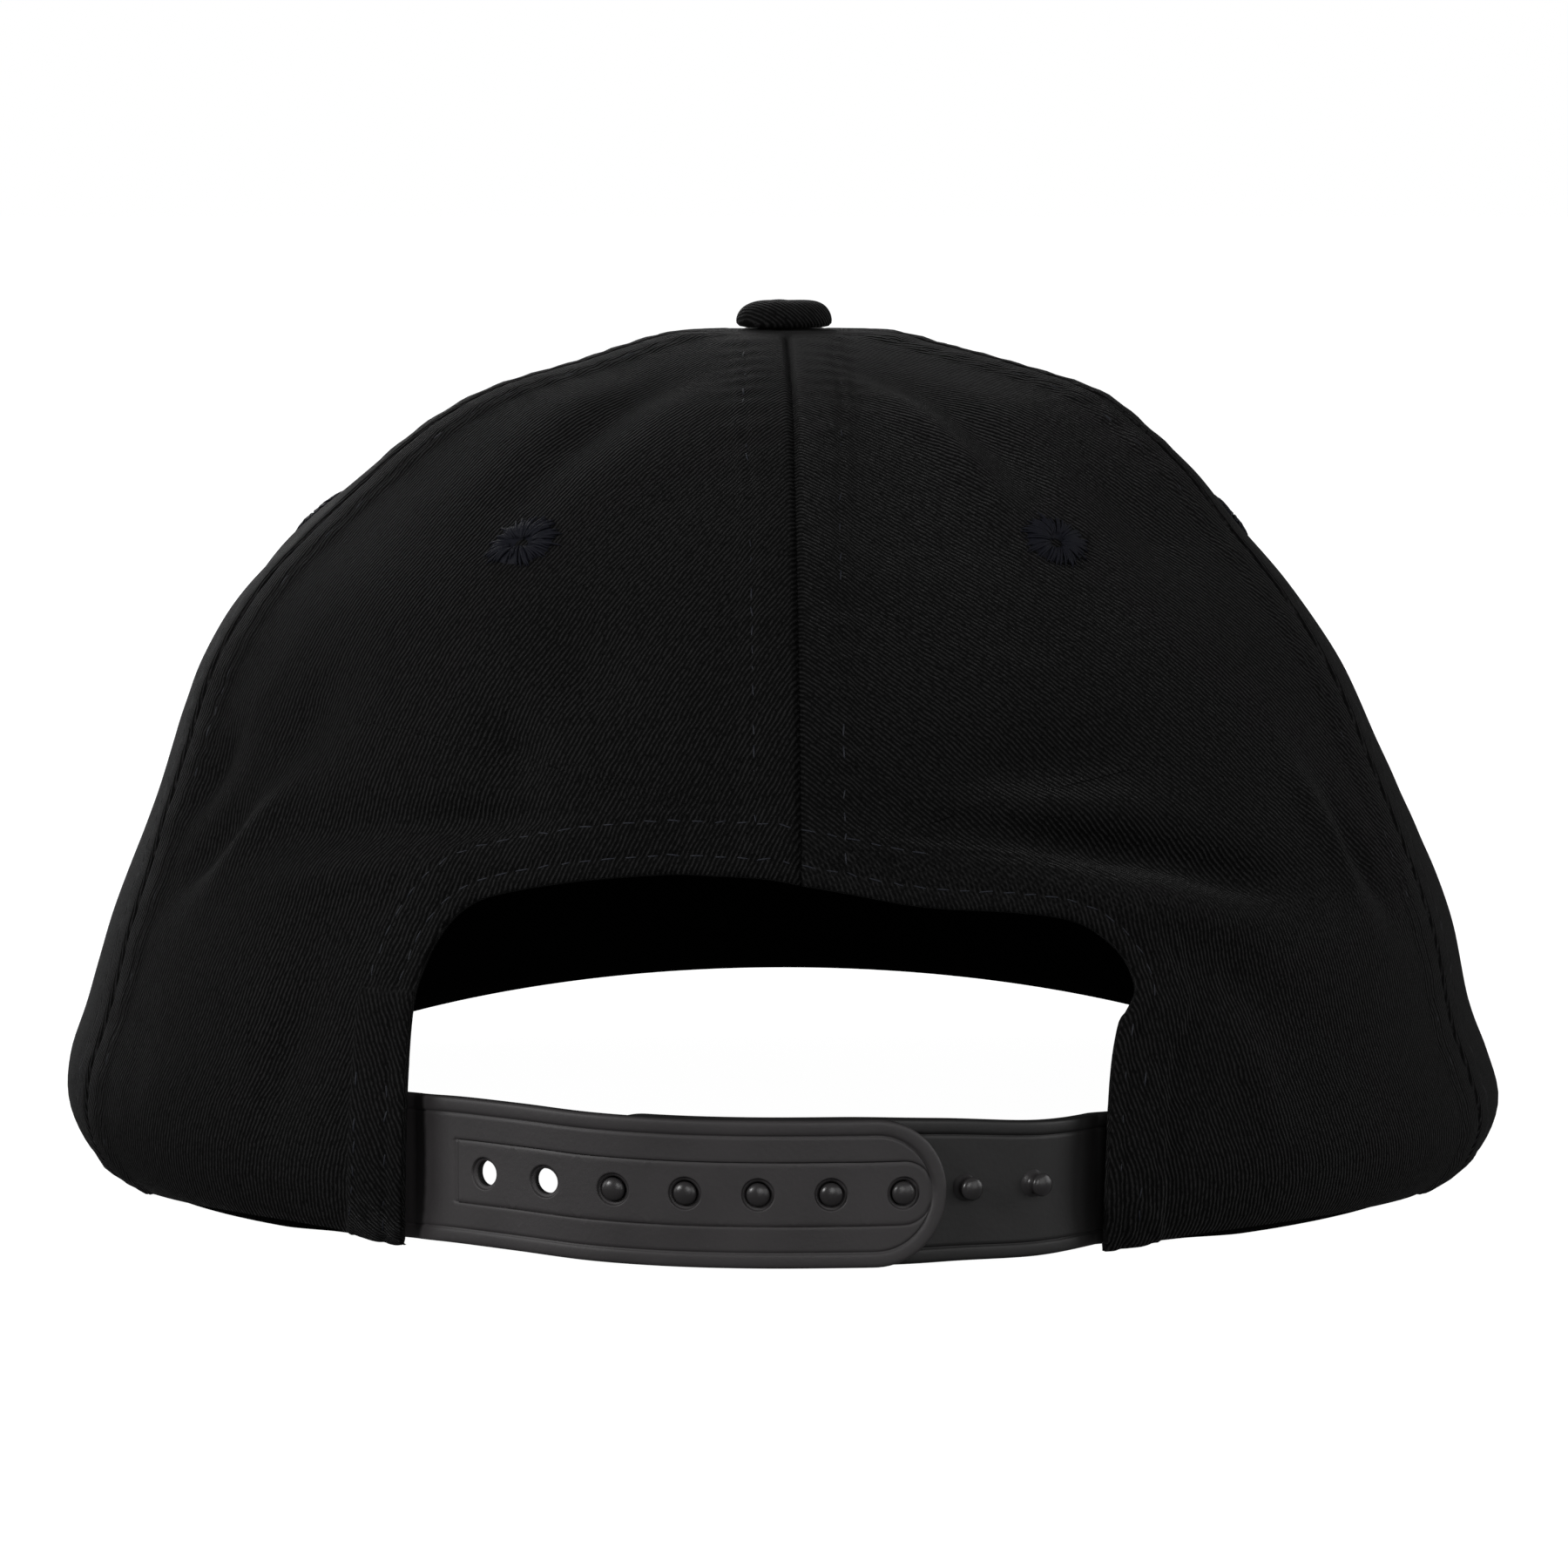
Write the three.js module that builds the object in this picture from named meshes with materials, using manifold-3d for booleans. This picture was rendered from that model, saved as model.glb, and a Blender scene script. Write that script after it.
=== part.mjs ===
// Black snapback cap: six sewn cotton panels, a covered button, a curved peak, a sweatband,
// six embroidered eyelets and the two plastic straps that snap together across the back.
//
// Millimetres, +Z up. The origin is the centre of the head opening, in the plane the cap rests
// on. The back of the cap, with its opening and straps, faces -Y and the peak points to +Y.
// Angles round the crown are in degrees, 0 at the back and growing towards +X.

import * as THREE from 'three';
import { mergeVertices } from 'three/addons/utils/BufferGeometryUtils.js';
import Module from 'manifold-3d';

// Crown
const CROWN_WIDTH = 200;
const CROWN_DEPTH = 190;
const CROWN_HEIGHT = 116.3;
const FRONT_LIFT = 16;
const CLOTH = 1.6;
const SEAM_RIDGE = 1.0;
const SEAM_RIDGE_SPREAD = 9;
const GAP = 0.3;

// Opening at the back
const OPENING_WIDTH = 90;
const OPENING_HEIGHT = 49.2;
const OPENING_SHIFT = -3.8;

// Button on top, with its rivet
const BUTTON_DIAMETER = 13.3;
const BUTTON_HEIGHT = 3.5;
const SHANK_DIAMETER = 3.4;
const RIVET_DIAMETER = 10;
const RIVET_THICKNESS = 1.2;

// Straps
const STRAP_HEIGHT = 18.9;
const STRAP_THICKNESS = 1.6;
const STRAP_FOOT = 0.3;
const STRAP_BULGE = 8.9;
const STRAP_RISE = 1.3;
const STRAP_TAPER = 1.9;
const STRAP_TUCK = 12;
const STRAP_TIP = 5.8;
const PEG_PITCH = 9.3;
const PEG_COUNT = 7;
const PEGS_SNAPPED = 5;
const SNAP_SHIFT = -3.3;
const PEG_DIAMETER = 2.6;
const PEG_PROUD = 0.4;
const HOLE_DIAMETER = 3.4;
const SINK_DIAMETER = 4.6;
const SINK_DEPTH = 0.5;

// Sweatband inside the rim
const SWEATBAND_HEIGHT = 30;
const SWEATBAND_THICKNESS = 1.0;
const SWEATBAND_INSET = 5;

// Peak
const PEAK_WIDTH = 178;
const PEAK_LENGTH = 69;
const PEAK_THICKNESS = 3;
const PEAK_DROP = 4;
const PEAK_SPAN = 152;
const PEAK_END = 6;

// Eyelets
const EYELET_DIAMETER = 9.6;
const EYELET_HOLE = 2.4;
const EYELET_THICKNESS = 0.7;
const EYELET_HEIGHT = 89.5;

// Sections of the crown from the rim to the top. Each row holds its height as a share of
// CROWN_HEIGHT, then its reach to the left and to the right as shares of half CROWN_WIDTH, and
// to the back and to the front as shares of half CROWN_DEPTH.
const SECTIONS = [
  [0.000, 0.925, 0.930, 0.983, 0.983],
  [0.030, 0.970, 0.975, 0.990, 0.988],
  [0.080, 0.998, 0.998, 0.995, 0.992],
  [0.135, 0.996, 0.982, 0.995, 0.992],
  [0.200, 0.971, 0.955, 0.990, 0.990],
  [0.300, 0.937, 0.929, 0.975, 0.982],
  [0.403, 0.892, 0.882, 0.945, 0.965],
  [0.504, 0.851, 0.828, 0.900, 0.938],
  [0.605, 0.810, 0.773, 0.840, 0.895],
  [0.695, 0.745, 0.702, 0.765, 0.835],
  [0.771, 0.657, 0.626, 0.675, 0.755],
  [0.831, 0.578, 0.570, 0.585, 0.665],
  [0.881, 0.503, 0.506, 0.490, 0.570],
  [0.921, 0.415, 0.437, 0.395, 0.465],
  [0.951, 0.298, 0.322, 0.305, 0.355],
  [0.975, 0.218, 0.222, 0.215, 0.250],
  [0.991, 0.150, 0.155, 0.130, 0.150],
  [1.000, 0.022, 0.022, 0.022, 0.022],
];
const TOP_ROW = SECTIONS.length - 1;

// Seams, in degrees round the crown, and the middle of each panel, where its eyelet sits
const SEAM = { back: 1.4, sideRight: 71, frontRight: 128, front: 180, frontLeft: 232, sideLeft: 289 };
const EYELET_AT = {
  back_left: -31.7, back_right: 34.9, side_right: 99, side_left: 261, front_right: 154, front_left: 206,
};

// Folds and dents of the cloth. Each row holds its place, in degrees round the crown and as a
// share of CROWN_HEIGHT, the turn of its line in degrees up from level, and its half length,
// half width and rise as shares of CROWN_WIDTH.
const FOLDS = [
  [30.5, 0.438, -11, 0.100, 0.018, -0.0110],
  [41.9, 0.398, -14, 0.050, 0.018, -0.0065],
  [31.0, 0.385, -14, 0.090, 0.023, 0.0060],
  [23.6, 0.533, 5, 0.070, 0.025, -0.0060],
  [26.3, 0.487, -5, 0.075, 0.018, 0.0040],
  [56.3, 0.441, -76, 0.050, 0.020, 0.0050],
  [61.0, 0.404, -71, 0.045, 0.018, -0.0055],
  [38.2, 0.291, -21, 0.040, 0.030, -0.0050],
  [39.0, 0.208, -75, 0.050, 0.023, 0.0040],
  [51.0, 0.800, -74, 0.060, 0.040, -0.0045],
  [25.2, 0.882, -71, 0.080, 0.020, 0.0040],
  [32.7, 0.895, -73, 0.075, 0.025, -0.0055],
  [-33.4, 0.900, 80, 0.080, 0.030, -0.0060],
  [-19.3, 0.647, -41, 0.050, 0.035, -0.0065],
  [-25.2, 0.551, -52, 0.030, 0.023, -0.0070],
  [-27.1, 0.476, 3, 0.045, 0.016, -0.0065],
  [-49.9, 0.564, 65, 0.050, 0.040, -0.0060],
  [-58.6, 0.424, 44, 0.050, 0.018, -0.0065],
  [-53.6, 0.445, 48, 0.055, 0.020, 0.0050],
  [-63.5, 0.492, 64, 0.040, 0.015, -0.0045],
  [-38.7, 0.456, 5, 0.080, 0.023, -0.0060],
  [-38.7, 0.411, 10, 0.090, 0.025, 0.0055],
  [-41.6, 0.215, 85, 0.070, 0.025, -0.0045],
  [106.0, 0.380, -18, 0.090, 0.040, -0.0070],
  [254.0, 0.400, 14, 0.090, 0.040, -0.0070],
  [148.0, 0.330, 8, 0.120, 0.045, -0.0050],
  [214.0, 0.350, -10, 0.110, 0.040, -0.0050],
];

// Outline of the back opening from its left foot over the arch to its right foot: shares of
// OPENING_WIDTH from the middle of the opening, and shares of OPENING_HEIGHT
const OPENING = [
  [-0.506, 0.000], [-0.500, 0.410], [-0.491, 0.638], [-0.474, 0.744], [-0.454, 0.817],
  [-0.422, 0.886], [-0.373, 0.933], [-0.261, 0.976], [-0.134, 1.000], [-0.071, 1.000],
  [0.016, 0.990], [0.071, 0.972], [0.133, 0.953], [0.243, 0.917], [0.370, 0.896],
  [0.451, 0.868], [0.499, 0.821], [0.532, 0.760], [0.547, 0.687], [0.536, 0.635],
  [0.521, 0.587], [0.508, 0.409], [0.500, 0.000],
];

// Line of the straps seen from above, in even steps from the left foot of the opening to the
// right one: how far it bulges out, as a share of STRAP_BULGE, and rises, of STRAP_RISE
const STRAP_LINE = [
  [0.000, 0.31], [0.560, 0.90], [0.863, 0.89], [0.984, 0.44], [0.998, 0.15], [0.967, 0.01],
  [0.953, 0.00], [0.915, 0.00], [0.749, 0.09], [0.480, 0.12], [0.000, 0.23],
];

const radians = THREE.MathUtils.degToRad;
const lerp = THREE.MathUtils.lerp;

// Smooth curve through one column of a table, at a row counted from its first
function curveThrough(table, column, row) {
  const last = table.length - 1;
  const at = THREE.MathUtils.clamp(row, 0, last - 1e-9);
  const i = Math.floor(at);
  const t = at - i;
  const p1 = table[i][column];
  const p2 = table[i + 1][column];
  const p0 = i > 0 ? table[i - 1][column] : 2 * p1 - p2;
  const p3 = i + 2 <= last ? table[i + 2][column] : 2 * p2 - p1;
  const curve = (2 * p0 - 5 * p1 + 4 * p2 - p3) * t + (p2 - p0);
  return 0.5 * (2 * p1 + curve * t + (3 * p1 - p0 - 3 * p2 + p3) * t ** 3);
}

// Column of the sections at a row counted from the rim
const section = (column, row) => curveThrough(SECTIONS, column, row);

// Lift of the crown's lower edge, which rises towards the front as the peak bends
const lift = (angle) => FRONT_LIFT * Math.max(-Math.cos(angle), 0) ** 1.3;

// Smooth form of the crown, without seams and folds
function crownForm(angle, row) {
  const high = section(0, row);
  const across = (Math.sin(angle) > 0 ? section(2, row) : section(1, row)) * CROWN_WIDTH / 2;
  const along = (Math.cos(angle) > 0 ? section(3, row) : section(4, row)) * CROWN_DEPTH / 2;
  const low = lift(angle);
  return new THREE.Vector3(
    across * Math.sin(angle), -along * Math.cos(angle), low + high * (CROWN_HEIGHT - low));
}

// Direction out of a surface of angle and row; along the lower edge it is level, so that the
// edge is cut flat
function outOf(surface, angle, row) {
  const step = 1e-3;
  const top = Math.min(row + step, TOP_ROW);
  const round = surface(angle + step, row).sub(surface(angle - step, row));
  const up = surface(angle, top).sub(surface(angle, top - 2 * step));
  return round.cross(row < 1e-6 ? new THREE.Vector3(0, 0, 1) : up).normalize();
}

// Way up the cloth from the rim to each row
const CLIMB = [0];
for (let i = 0; i < TOP_ROW; i += 1) {
  const rise = (SECTIONS[i + 1][0] - SECTIONS[i][0]) * CROWN_HEIGHT;
  const run = (SECTIONS[i + 1][2] - SECTIONS[i][2]) * CROWN_WIDTH / 2;
  CLIMB.push(CLIMB[i] + Math.hypot(rise, run));
}
function climb(row) {
  const i = Math.min(Math.floor(row), TOP_ROW - 1);
  return lerp(CLIMB[i], CLIMB[i + 1], row - i);
}

// Row of the crown where a rising measure passes a value
function rowWhere(measure, value) {
  let low = 0;
  let high = TOP_ROW;
  for (let i = 0; i < 40; i += 1) {
    const middle = (low + high) / 2;
    if (measure(middle) < value) low = middle; else high = middle;
  }
  return (low + high) / 2;
}
const foldClimb = FOLDS.map(([, height]) => climb(rowWhere((row) => section(0, row), height)));

const angleBetween = (a, b) => Math.atan2(Math.sin(a - b), Math.cos(a - b));

// Outer face of the crown: the form with a soft ridge along each seam and the folds
function crownPoint(angle, row) {
  const point = crownForm(angle, row);
  const reach = Math.hypot(point.x, point.y);
  let ridge = 0;
  for (const seam of Object.values(SEAM)) {
    const away = angleBetween(angle, radians(seam)) * reach;
    ridge = Math.max(ridge, Math.exp(-((away / SEAM_RIDGE_SPREAD) ** 2)));
  }
  let rise = SEAM_RIDGE * ridge * THREE.MathUtils.clamp((section(0, row) - 0.25) / 0.3, 0, 1);
  rise *= THREE.MathUtils.smoothstep(reach, BUTTON_DIAMETER / 2, 4 * SEAM_RIDGE_SPREAD);
  FOLDS.forEach(([round, , turn, length, width, out], i) => {
    const side = angleBetween(angle, radians(round)) * reach;
    const up = climb(row) - foldClimb[i];
    const [cos, sin] = [Math.cos(radians(turn)), Math.sin(radians(turn))];
    const along = (side * cos + up * sin) / (length * CROWN_WIDTH);
    const across = (up * cos - side * sin) / (width * CROWN_WIDTH);
    rise += out * CROWN_WIDTH * Math.exp(-(along ** 2) - across ** 2);
  });
  return point.addScaledVector(outOf(crownForm, angle, row), rise);
}

const offCrown = (angle, row, off) => (
  crownPoint(angle, row).addScaledVector(outOf(crownPoint, angle, row), off));

// Closed geometry from vertices and triangles, with its faces pointing out
function closedGeometry(points, triangles) {
  let volume = 0;
  for (const [a, b, c] of triangles) {
    volume += points[a].dot(new THREE.Vector3().crossVectors(points[b], points[c]));
  }
  const geometry = new THREE.BufferGeometry();
  geometry.setAttribute('position', new THREE.Float32BufferAttribute(
    points.flatMap((point) => point.toArray()), 3));
  geometry.setIndex(triangles.flatMap(([a, b, c]) => (volume > 0 ? [a, b, c] : [a, c, b])));
  geometry.computeVertexNormals();
  return geometry;
}

// Sheet with two faces and an edge all round, each face given as a function of two steps
function sheet(columns, rows, outer, inner) {
  const points = [];
  for (const face of [outer, inner]) {
    for (let j = 0; j <= rows; j += 1) {
      for (let i = 0; i <= columns; i += 1) points.push(face(i / columns, j / rows));
    }
  }
  const width = columns + 1;
  const back = width * (rows + 1);
  const triangles = [];
  const quad = (a, b, c, d) => triangles.push([a, b, c], [a, c, d]);
  for (let j = 0; j < rows; j += 1) {
    for (let i = 0; i < columns; i += 1) {
      const a = j * width + i;
      quad(a, a + 1, a + width + 1, a + width);
      quad(back + a, back + a + width, back + a + width + 1, back + a + 1);
    }
  }
  for (let i = 0; i < columns; i += 1) {
    const top = rows * width + i;
    quad(i + 1, i, back + i, back + i + 1);
    quad(top, top + 1, back + top + 1, back + top);
  }
  for (let j = 0; j < rows; j += 1) {
    const left = j * width;
    const right = left + columns;
    quad(left, left + width, back + left + width, back + left);
    quad(right + width, right, back + right, back + right + width);
  }
  return closedGeometry(points, triangles);
}

// Solids that can be joined and cut
const wasm = await Module();
wasm.setup();

function toSolid(source) {
  const bare = source.clone();
  bare.deleteAttribute('normal');
  bare.deleteAttribute('uv');
  const merged = mergeVertices(bare, 1e-4);
  return new wasm.Manifold(new wasm.Mesh({
    numProp: 3,
    vertProperties: new Float32Array(merged.attributes.position.array),
    triVerts: new Uint32Array(merged.index.array),
  }));
}

function toGeometry(solid) {
  const mesh = solid.getMesh();
  const geometry = new THREE.BufferGeometry();
  geometry.setAttribute('position', new THREE.BufferAttribute(mesh.vertProperties, 3));
  geometry.setIndex(new THREE.BufferAttribute(mesh.triVerts, 1));
  geometry.computeVertexNormals();
  return geometry;
}

const black = new THREE.MeshStandardMaterial({ color: 0x141416, roughness: 0.95, metalness: 0 });
const lining = new THREE.MeshStandardMaterial({ color: 0x0c0c0d, roughness: 0.95, metalness: 0 });
const thread = new THREE.MeshStandardMaterial({ color: 0x1b1c22, roughness: 0.7, metalness: 0 });
const plastic = new THREE.MeshStandardMaterial({ color: 0x262525, roughness: 0.45, metalness: 0 });

const cap = new THREE.Group();

function place(name, geometry, material) {
  const mesh = new THREE.Mesh(geometry, material);
  mesh.name = name;
  cap.add(mesh);
  return mesh;
}

// Panels: each runs from seam to seam, with half the gap taken off at both
function panel(from, to, columns, rows) {
  const angleAt = (u, row) => {
    const seam = crownPoint(radians(from), row);
    const trim = GAP / 2 / Math.hypot(seam.x, seam.y);
    return lerp(radians(from) + trim, radians(to) - trim, u);
  };
  const rowAt = (v) => v * TOP_ROW;
  return sheet(columns, rows,
    (u, v) => crownPoint(angleAt(u, rowAt(v)), rowAt(v)),
    (u, v) => offCrown(angleAt(u, rowAt(v)), rowAt(v), -CLOTH));
}

// Cutter of the opening: its outline pushed through the back of the crown
const openingPoint = ([x, z]) => (
  new THREE.Vector2(OPENING_SHIFT + x * OPENING_WIDTH, z * OPENING_HEIGHT));
const openingLine = new THREE.SplineCurve(OPENING.map(openingPoint)).getPoints(66);
const openingShape = new THREE.Shape([
  new THREE.Vector2(openingLine[0].x, -CLOTH),
  ...openingLine,
  new THREE.Vector2(openingLine.at(-1).x, -CLOTH),
]);
const openingCut = new THREE.ExtrudeGeometry(openingShape, {
  depth: CROWN_DEPTH / 2, bevelEnabled: false, steps: 1,
});
openingCut.rotateX(Math.PI / 2);
openingCut.translate(0, -CROWN_DEPTH / 6, 0);
const openingSolid = toSolid(openingCut);

const cutPanel = (from, to) => toGeometry(toSolid(panel(from, to, 16, 26)).subtract(openingSolid));

place('panel_back_right', cutPanel(SEAM.back, SEAM.sideRight), black);
place('panel_back_left', cutPanel(SEAM.sideLeft - 360, SEAM.back), black);
place('panel_side_right', panel(SEAM.sideRight, SEAM.frontRight, 8, 18), black);
place('panel_front_right', panel(SEAM.frontRight, SEAM.front, 8, 18), black);
place('panel_front_left', panel(SEAM.front, SEAM.frontLeft, 8, 18), black);
place('panel_side_left', panel(SEAM.frontLeft, SEAM.sideLeft, 8, 18), black);

// Button: a domed cover over the top of the seams, its shank through them and a rivet inside
const buttonFoot = crownPoint(0, TOP_ROW).z + GAP;
const rivetEdge = rowWhere(
  (row) => -Math.abs(crownPoint(0, row).y), -(RIVET_DIAMETER / 2 + CLOTH));
const rivetTop = crownPoint(0, rivetEdge).z - CLOTH - GAP;
const buttonProfile = [
  [0, rivetTop - RIVET_THICKNESS], [RIVET_DIAMETER / 2, rivetTop - RIVET_THICKNESS],
  [RIVET_DIAMETER / 2, rivetTop], [SHANK_DIAMETER / 2, rivetTop],
  [SHANK_DIAMETER / 2, buttonFoot], [BUTTON_DIAMETER * 0.47, buttonFoot],
];
for (let i = 0; i <= 6; i += 1) {
  const turn = i / 6 * Math.PI / 2;
  buttonProfile.push([
    BUTTON_DIAMETER / 2 * Math.cos(turn) ** 0.6,
    buttonFoot + BUTTON_HEIGHT * (0.3 + 0.7 * Math.sin(turn)),
  ]);
}
buttonProfile.at(-1)[0] = 0;
const buttonGeometry = new THREE.LatheGeometry(
  buttonProfile.map(([r, z]) => new THREE.Vector2(r, z)), 24);
buttonGeometry.rotateX(Math.PI / 2);
place('button', toGeometry(toSolid(buttonGeometry)), black);

// Eyelets: flat rings of thread, bent to lie on the panels
function eyelet(angle) {
  const row = rowWhere((at) => crownPoint(angle, at).z, EYELET_HEIGHT);
  const step = 1e-2;
  const round = crownPoint(angle + step, row).distanceTo(crownPoint(angle - step, row)) / (2 * step);
  const up = crownPoint(angle, row + step).distanceTo(crownPoint(angle, row - step)) / (2 * step);
  const edge = [
    [EYELET_HOLE / 2, GAP], [EYELET_DIAMETER / 2, GAP],
    [EYELET_DIAMETER / 2, GAP + EYELET_THICKNESS * 0.5], [EYELET_DIAMETER * 0.4, GAP + EYELET_THICKNESS],
    [EYELET_HOLE * 0.7, GAP + EYELET_THICKNESS], [EYELET_HOLE / 2, GAP + EYELET_THICKNESS * 0.5],
    [EYELET_HOLE / 2, GAP],
  ];
  const ring = new THREE.LatheGeometry(edge.map(([r, z]) => new THREE.Vector2(r, z)), 12);
  ring.deleteAttribute('normal');
  ring.deleteAttribute('uv');
  const bent = mergeVertices(ring, 1e-4);
  const spots = bent.attributes.position;
  const points = [];
  for (let i = 0; i < spots.count; i += 1) {
    points.push(offCrown(angle + spots.getX(i) / round, row + spots.getZ(i) / up, spots.getY(i)));
  }
  const triangles = [];
  for (let i = 0; i < bent.index.count; i += 3) {
    triangles.push([bent.index.getX(i), bent.index.getX(i + 1), bent.index.getX(i + 2)]);
  }
  return closedGeometry(points, triangles);
}

for (const [where, degrees] of Object.entries(EYELET_AT)) {
  place(`eyelet_${where}`, eyelet(radians(degrees)), thread);
}

// Line of the straps seen from above, with its rise as z: it leaves the cloth at both feet of the
// opening, just inside the panels, and bulges out between them
const footAngle = (side, column) => Math.asin(
  (OPENING_SHIFT + side * OPENING_WIDTH / 2) / (section(column, 0) * CROWN_WIDTH / 2));
const footLeft = footAngle(-1, 1);
const footRight = footAngle(1, 2);
const tuckAngle = STRAP_TUCK / (section(3, 0) * CROWN_DEPTH / 2);

function strapLine(angle) {
  const row = (angle - footLeft) / (footRight - footLeft) * (STRAP_LINE.length - 1);
  const bulge = STRAP_BULGE * curveThrough(STRAP_LINE, 0, row);
  const point = offCrown(angle, 0, bulge - CLOTH - GAP);
  return point.setZ(STRAP_RISE * curveThrough(STRAP_LINE, 1, row));
}

const lineSteps = 600;
const strapStart = footLeft - tuckAngle;
const strapTurn = footRight - footLeft + 2 * tuckAngle;
const line = [];
for (let i = 0; i <= lineSteps; i += 1) line.push(strapLine(strapStart + strapTurn * i / lineSteps));
const lengths = [0];
for (let i = 1; i <= lineSteps; i += 1) lengths.push(lengths[i - 1] + line[i].distanceTo(line[i - 1]));
const snapStep = line.findIndex((point) => point.x >= SNAP_SHIFT);
const snapLength = lengths[snapStep];
const strapEnds = [-snapLength, lengths[lineSteps] - snapLength];

// Point at a length along the line, counted from the middle snapped peg, and off to its outside
function strapPoint(length, off, z) {
  const wanted = length + snapLength;
  let i = lengths.findIndex((value) => value >= wanted - 1e-6);
  i = THREE.MathUtils.clamp(i, 1, lineSteps - 1);
  const share = (wanted - lengths[i - 1]) / (lengths[i] - lengths[i - 1]);
  const point = line[i - 1].clone().lerp(line[i], share);
  const way = line[i + 1].clone().sub(line[i - 1]).setZ(0).normalize();
  return new THREE.Vector3(point.x + way.y * off, point.y - way.x * off, point.z + z);
}

const strapMiddle = STRAP_FOOT + STRAP_HEIGHT / 2;
const snapHalf = (PEGS_SNAPPED - 1) / 2 * PEG_PITCH;
const tipLeft = snapHalf + STRAP_TIP;
const tipRight = -snapHalf - STRAP_TIP;
const wayBack = PEG_PITCH * 1.5;

// The right strap lies under the left one, then comes back out to its own foot
const underLap = (length) => -(STRAP_THICKNESS + GAP) * (
  1 - THREE.MathUtils.smoothstep(length, tipLeft + GAP, tipLeft + GAP + wayBack));

// The right strap's top slopes down towards its foot
const slope = (length) => STRAP_TAPER * THREE.MathUtils.smoothstep(
  length, tipLeft - wayBack, strapEnds[1] - STRAP_TUCK);

// Strap from its tucked end to its round tip, both given as lengths along the line
function strap(end, tip, off, low) {
  const toTip = Math.sign(tip - end);
  const round = STRAP_HEIGHT / 2;
  const straight = 22;
  const columns = 32;
  const lengthAt = (u) => {
    const step = u * columns;
    if (step <= straight) return lerp(end, tip - toTip * round, step / straight);
    const turn = (step - straight) / (columns - straight) * Math.PI / 2;
    return tip - toTip * round * (1 - Math.sin(turn * 0.985));
  };
  const halfAt = (length) => {
    const past = Math.max((length - (tip - toTip * round)) * toTip, 0);
    return Math.sqrt(Math.max(round ** 2 - past ** 2, 0));
  };
  const face = (depth) => (u, v) => {
    const length = lengthAt(u);
    return strapPoint(length, off(length) - depth,
      strapMiddle + (2 * v - 1) * halfAt(length) - v * low(length));
  };
  return toSolid(sheet(columns, 2, face(0), face(STRAP_THICKNESS)));
}

// Round piece standing on the strap line at a length, its profile given from the strap's face
function turned(profile, length, off, sides) {
  const geometry = new THREE.LatheGeometry(
    profile.map(([r, out]) => new THREE.Vector2(r, out)), sides);
  const foot = strapPoint(length, off, strapMiddle);
  const out = strapPoint(length, off + 1, strapMiddle).sub(foot);
  geometry.applyQuaternion(new THREE.Quaternion().setFromUnitVectors(
    new THREE.Vector3(0, 1, 0), out.normalize()));
  geometry.translate(foot.x, foot.y, foot.z);
  return toSolid(geometry);
}

let strapLeft = strap(strapEnds[0], tipLeft, () => 0, () => 0);
for (let i = 0; i < PEG_COUNT; i += 1) {
  const length = snapHalf - i * PEG_PITCH;
  strapLeft = strapLeft.subtract(turned([
    [0, -2 * STRAP_THICKNESS], [HOLE_DIAMETER / 2, -2 * STRAP_THICKNESS],
    [HOLE_DIAMETER / 2, -SINK_DEPTH], [SINK_DIAMETER / 2, -SINK_DEPTH],
    [SINK_DIAMETER / 2, STRAP_THICKNESS], [0, STRAP_THICKNESS],
  ], length, 0, 20));
}
place('strap_left', toGeometry(strapLeft), plastic);

let strapRight = strap(strapEnds[1], tipRight, underLap, slope);
const pegLength = STRAP_THICKNESS + GAP + PEG_PROUD;
for (let i = 0; i < PEG_COUNT; i += 1) {
  const length = -snapHalf + i * PEG_PITCH;
  strapRight = strapRight.add(turned([
    [0, -STRAP_THICKNESS / 2], [PEG_DIAMETER / 2, -STRAP_THICKNESS / 2],
    [PEG_DIAMETER / 2, pegLength - PEG_DIAMETER * 0.3],
    [PEG_DIAMETER * 0.35, pegLength - PEG_DIAMETER * 0.08], [0, pegLength],
  ], length, underLap(length), 14));
}
place('strap_right', toGeometry(strapRight), plastic);

// Sweatband: an upright band inside the rim, set further in where the straps are tucked
const bandRow = rowWhere((row) => section(0, row), SWEATBAND_HEIGHT / CROWN_HEIGHT);
const bandInset = SWEATBAND_INSET / (section(3, 0) * CROWN_DEPTH / 2);
const bandFrom = footRight + bandInset;
const bandTo = 2 * Math.PI + footLeft - bandInset;
function bandPoint(angle, row, depth) {
  const pastRight = angle - footRight;
  const pastLeft = 2 * Math.PI + footLeft - angle;
  const past = Math.min(pastRight, pastLeft) / tuckAngle;
  const inside = (STRAP_THICKNESS + GAP) * (1 - THREE.MathUtils.smoothstep(past, 1.2, 2));
  const off = -(CLOTH + GAP + inside + depth);
  const rim = offCrown(angle, 0, off);
  const here = offCrown(angle, row, off);
  const reach = Math.min(1, Math.hypot(rim.x, rim.y) / Math.hypot(here.x, here.y));
  return new THREE.Vector3(here.x * reach, here.y * reach, here.z);
}
place('sweatband', sheet(42, 2,
  (u, v) => bandPoint(lerp(bandFrom, bandTo, u), v * bandRow, 0),
  (u, v) => bandPoint(lerp(bandFrom, bandTo, u), v * bandRow, SWEATBAND_THICKNESS)), lining);

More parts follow.
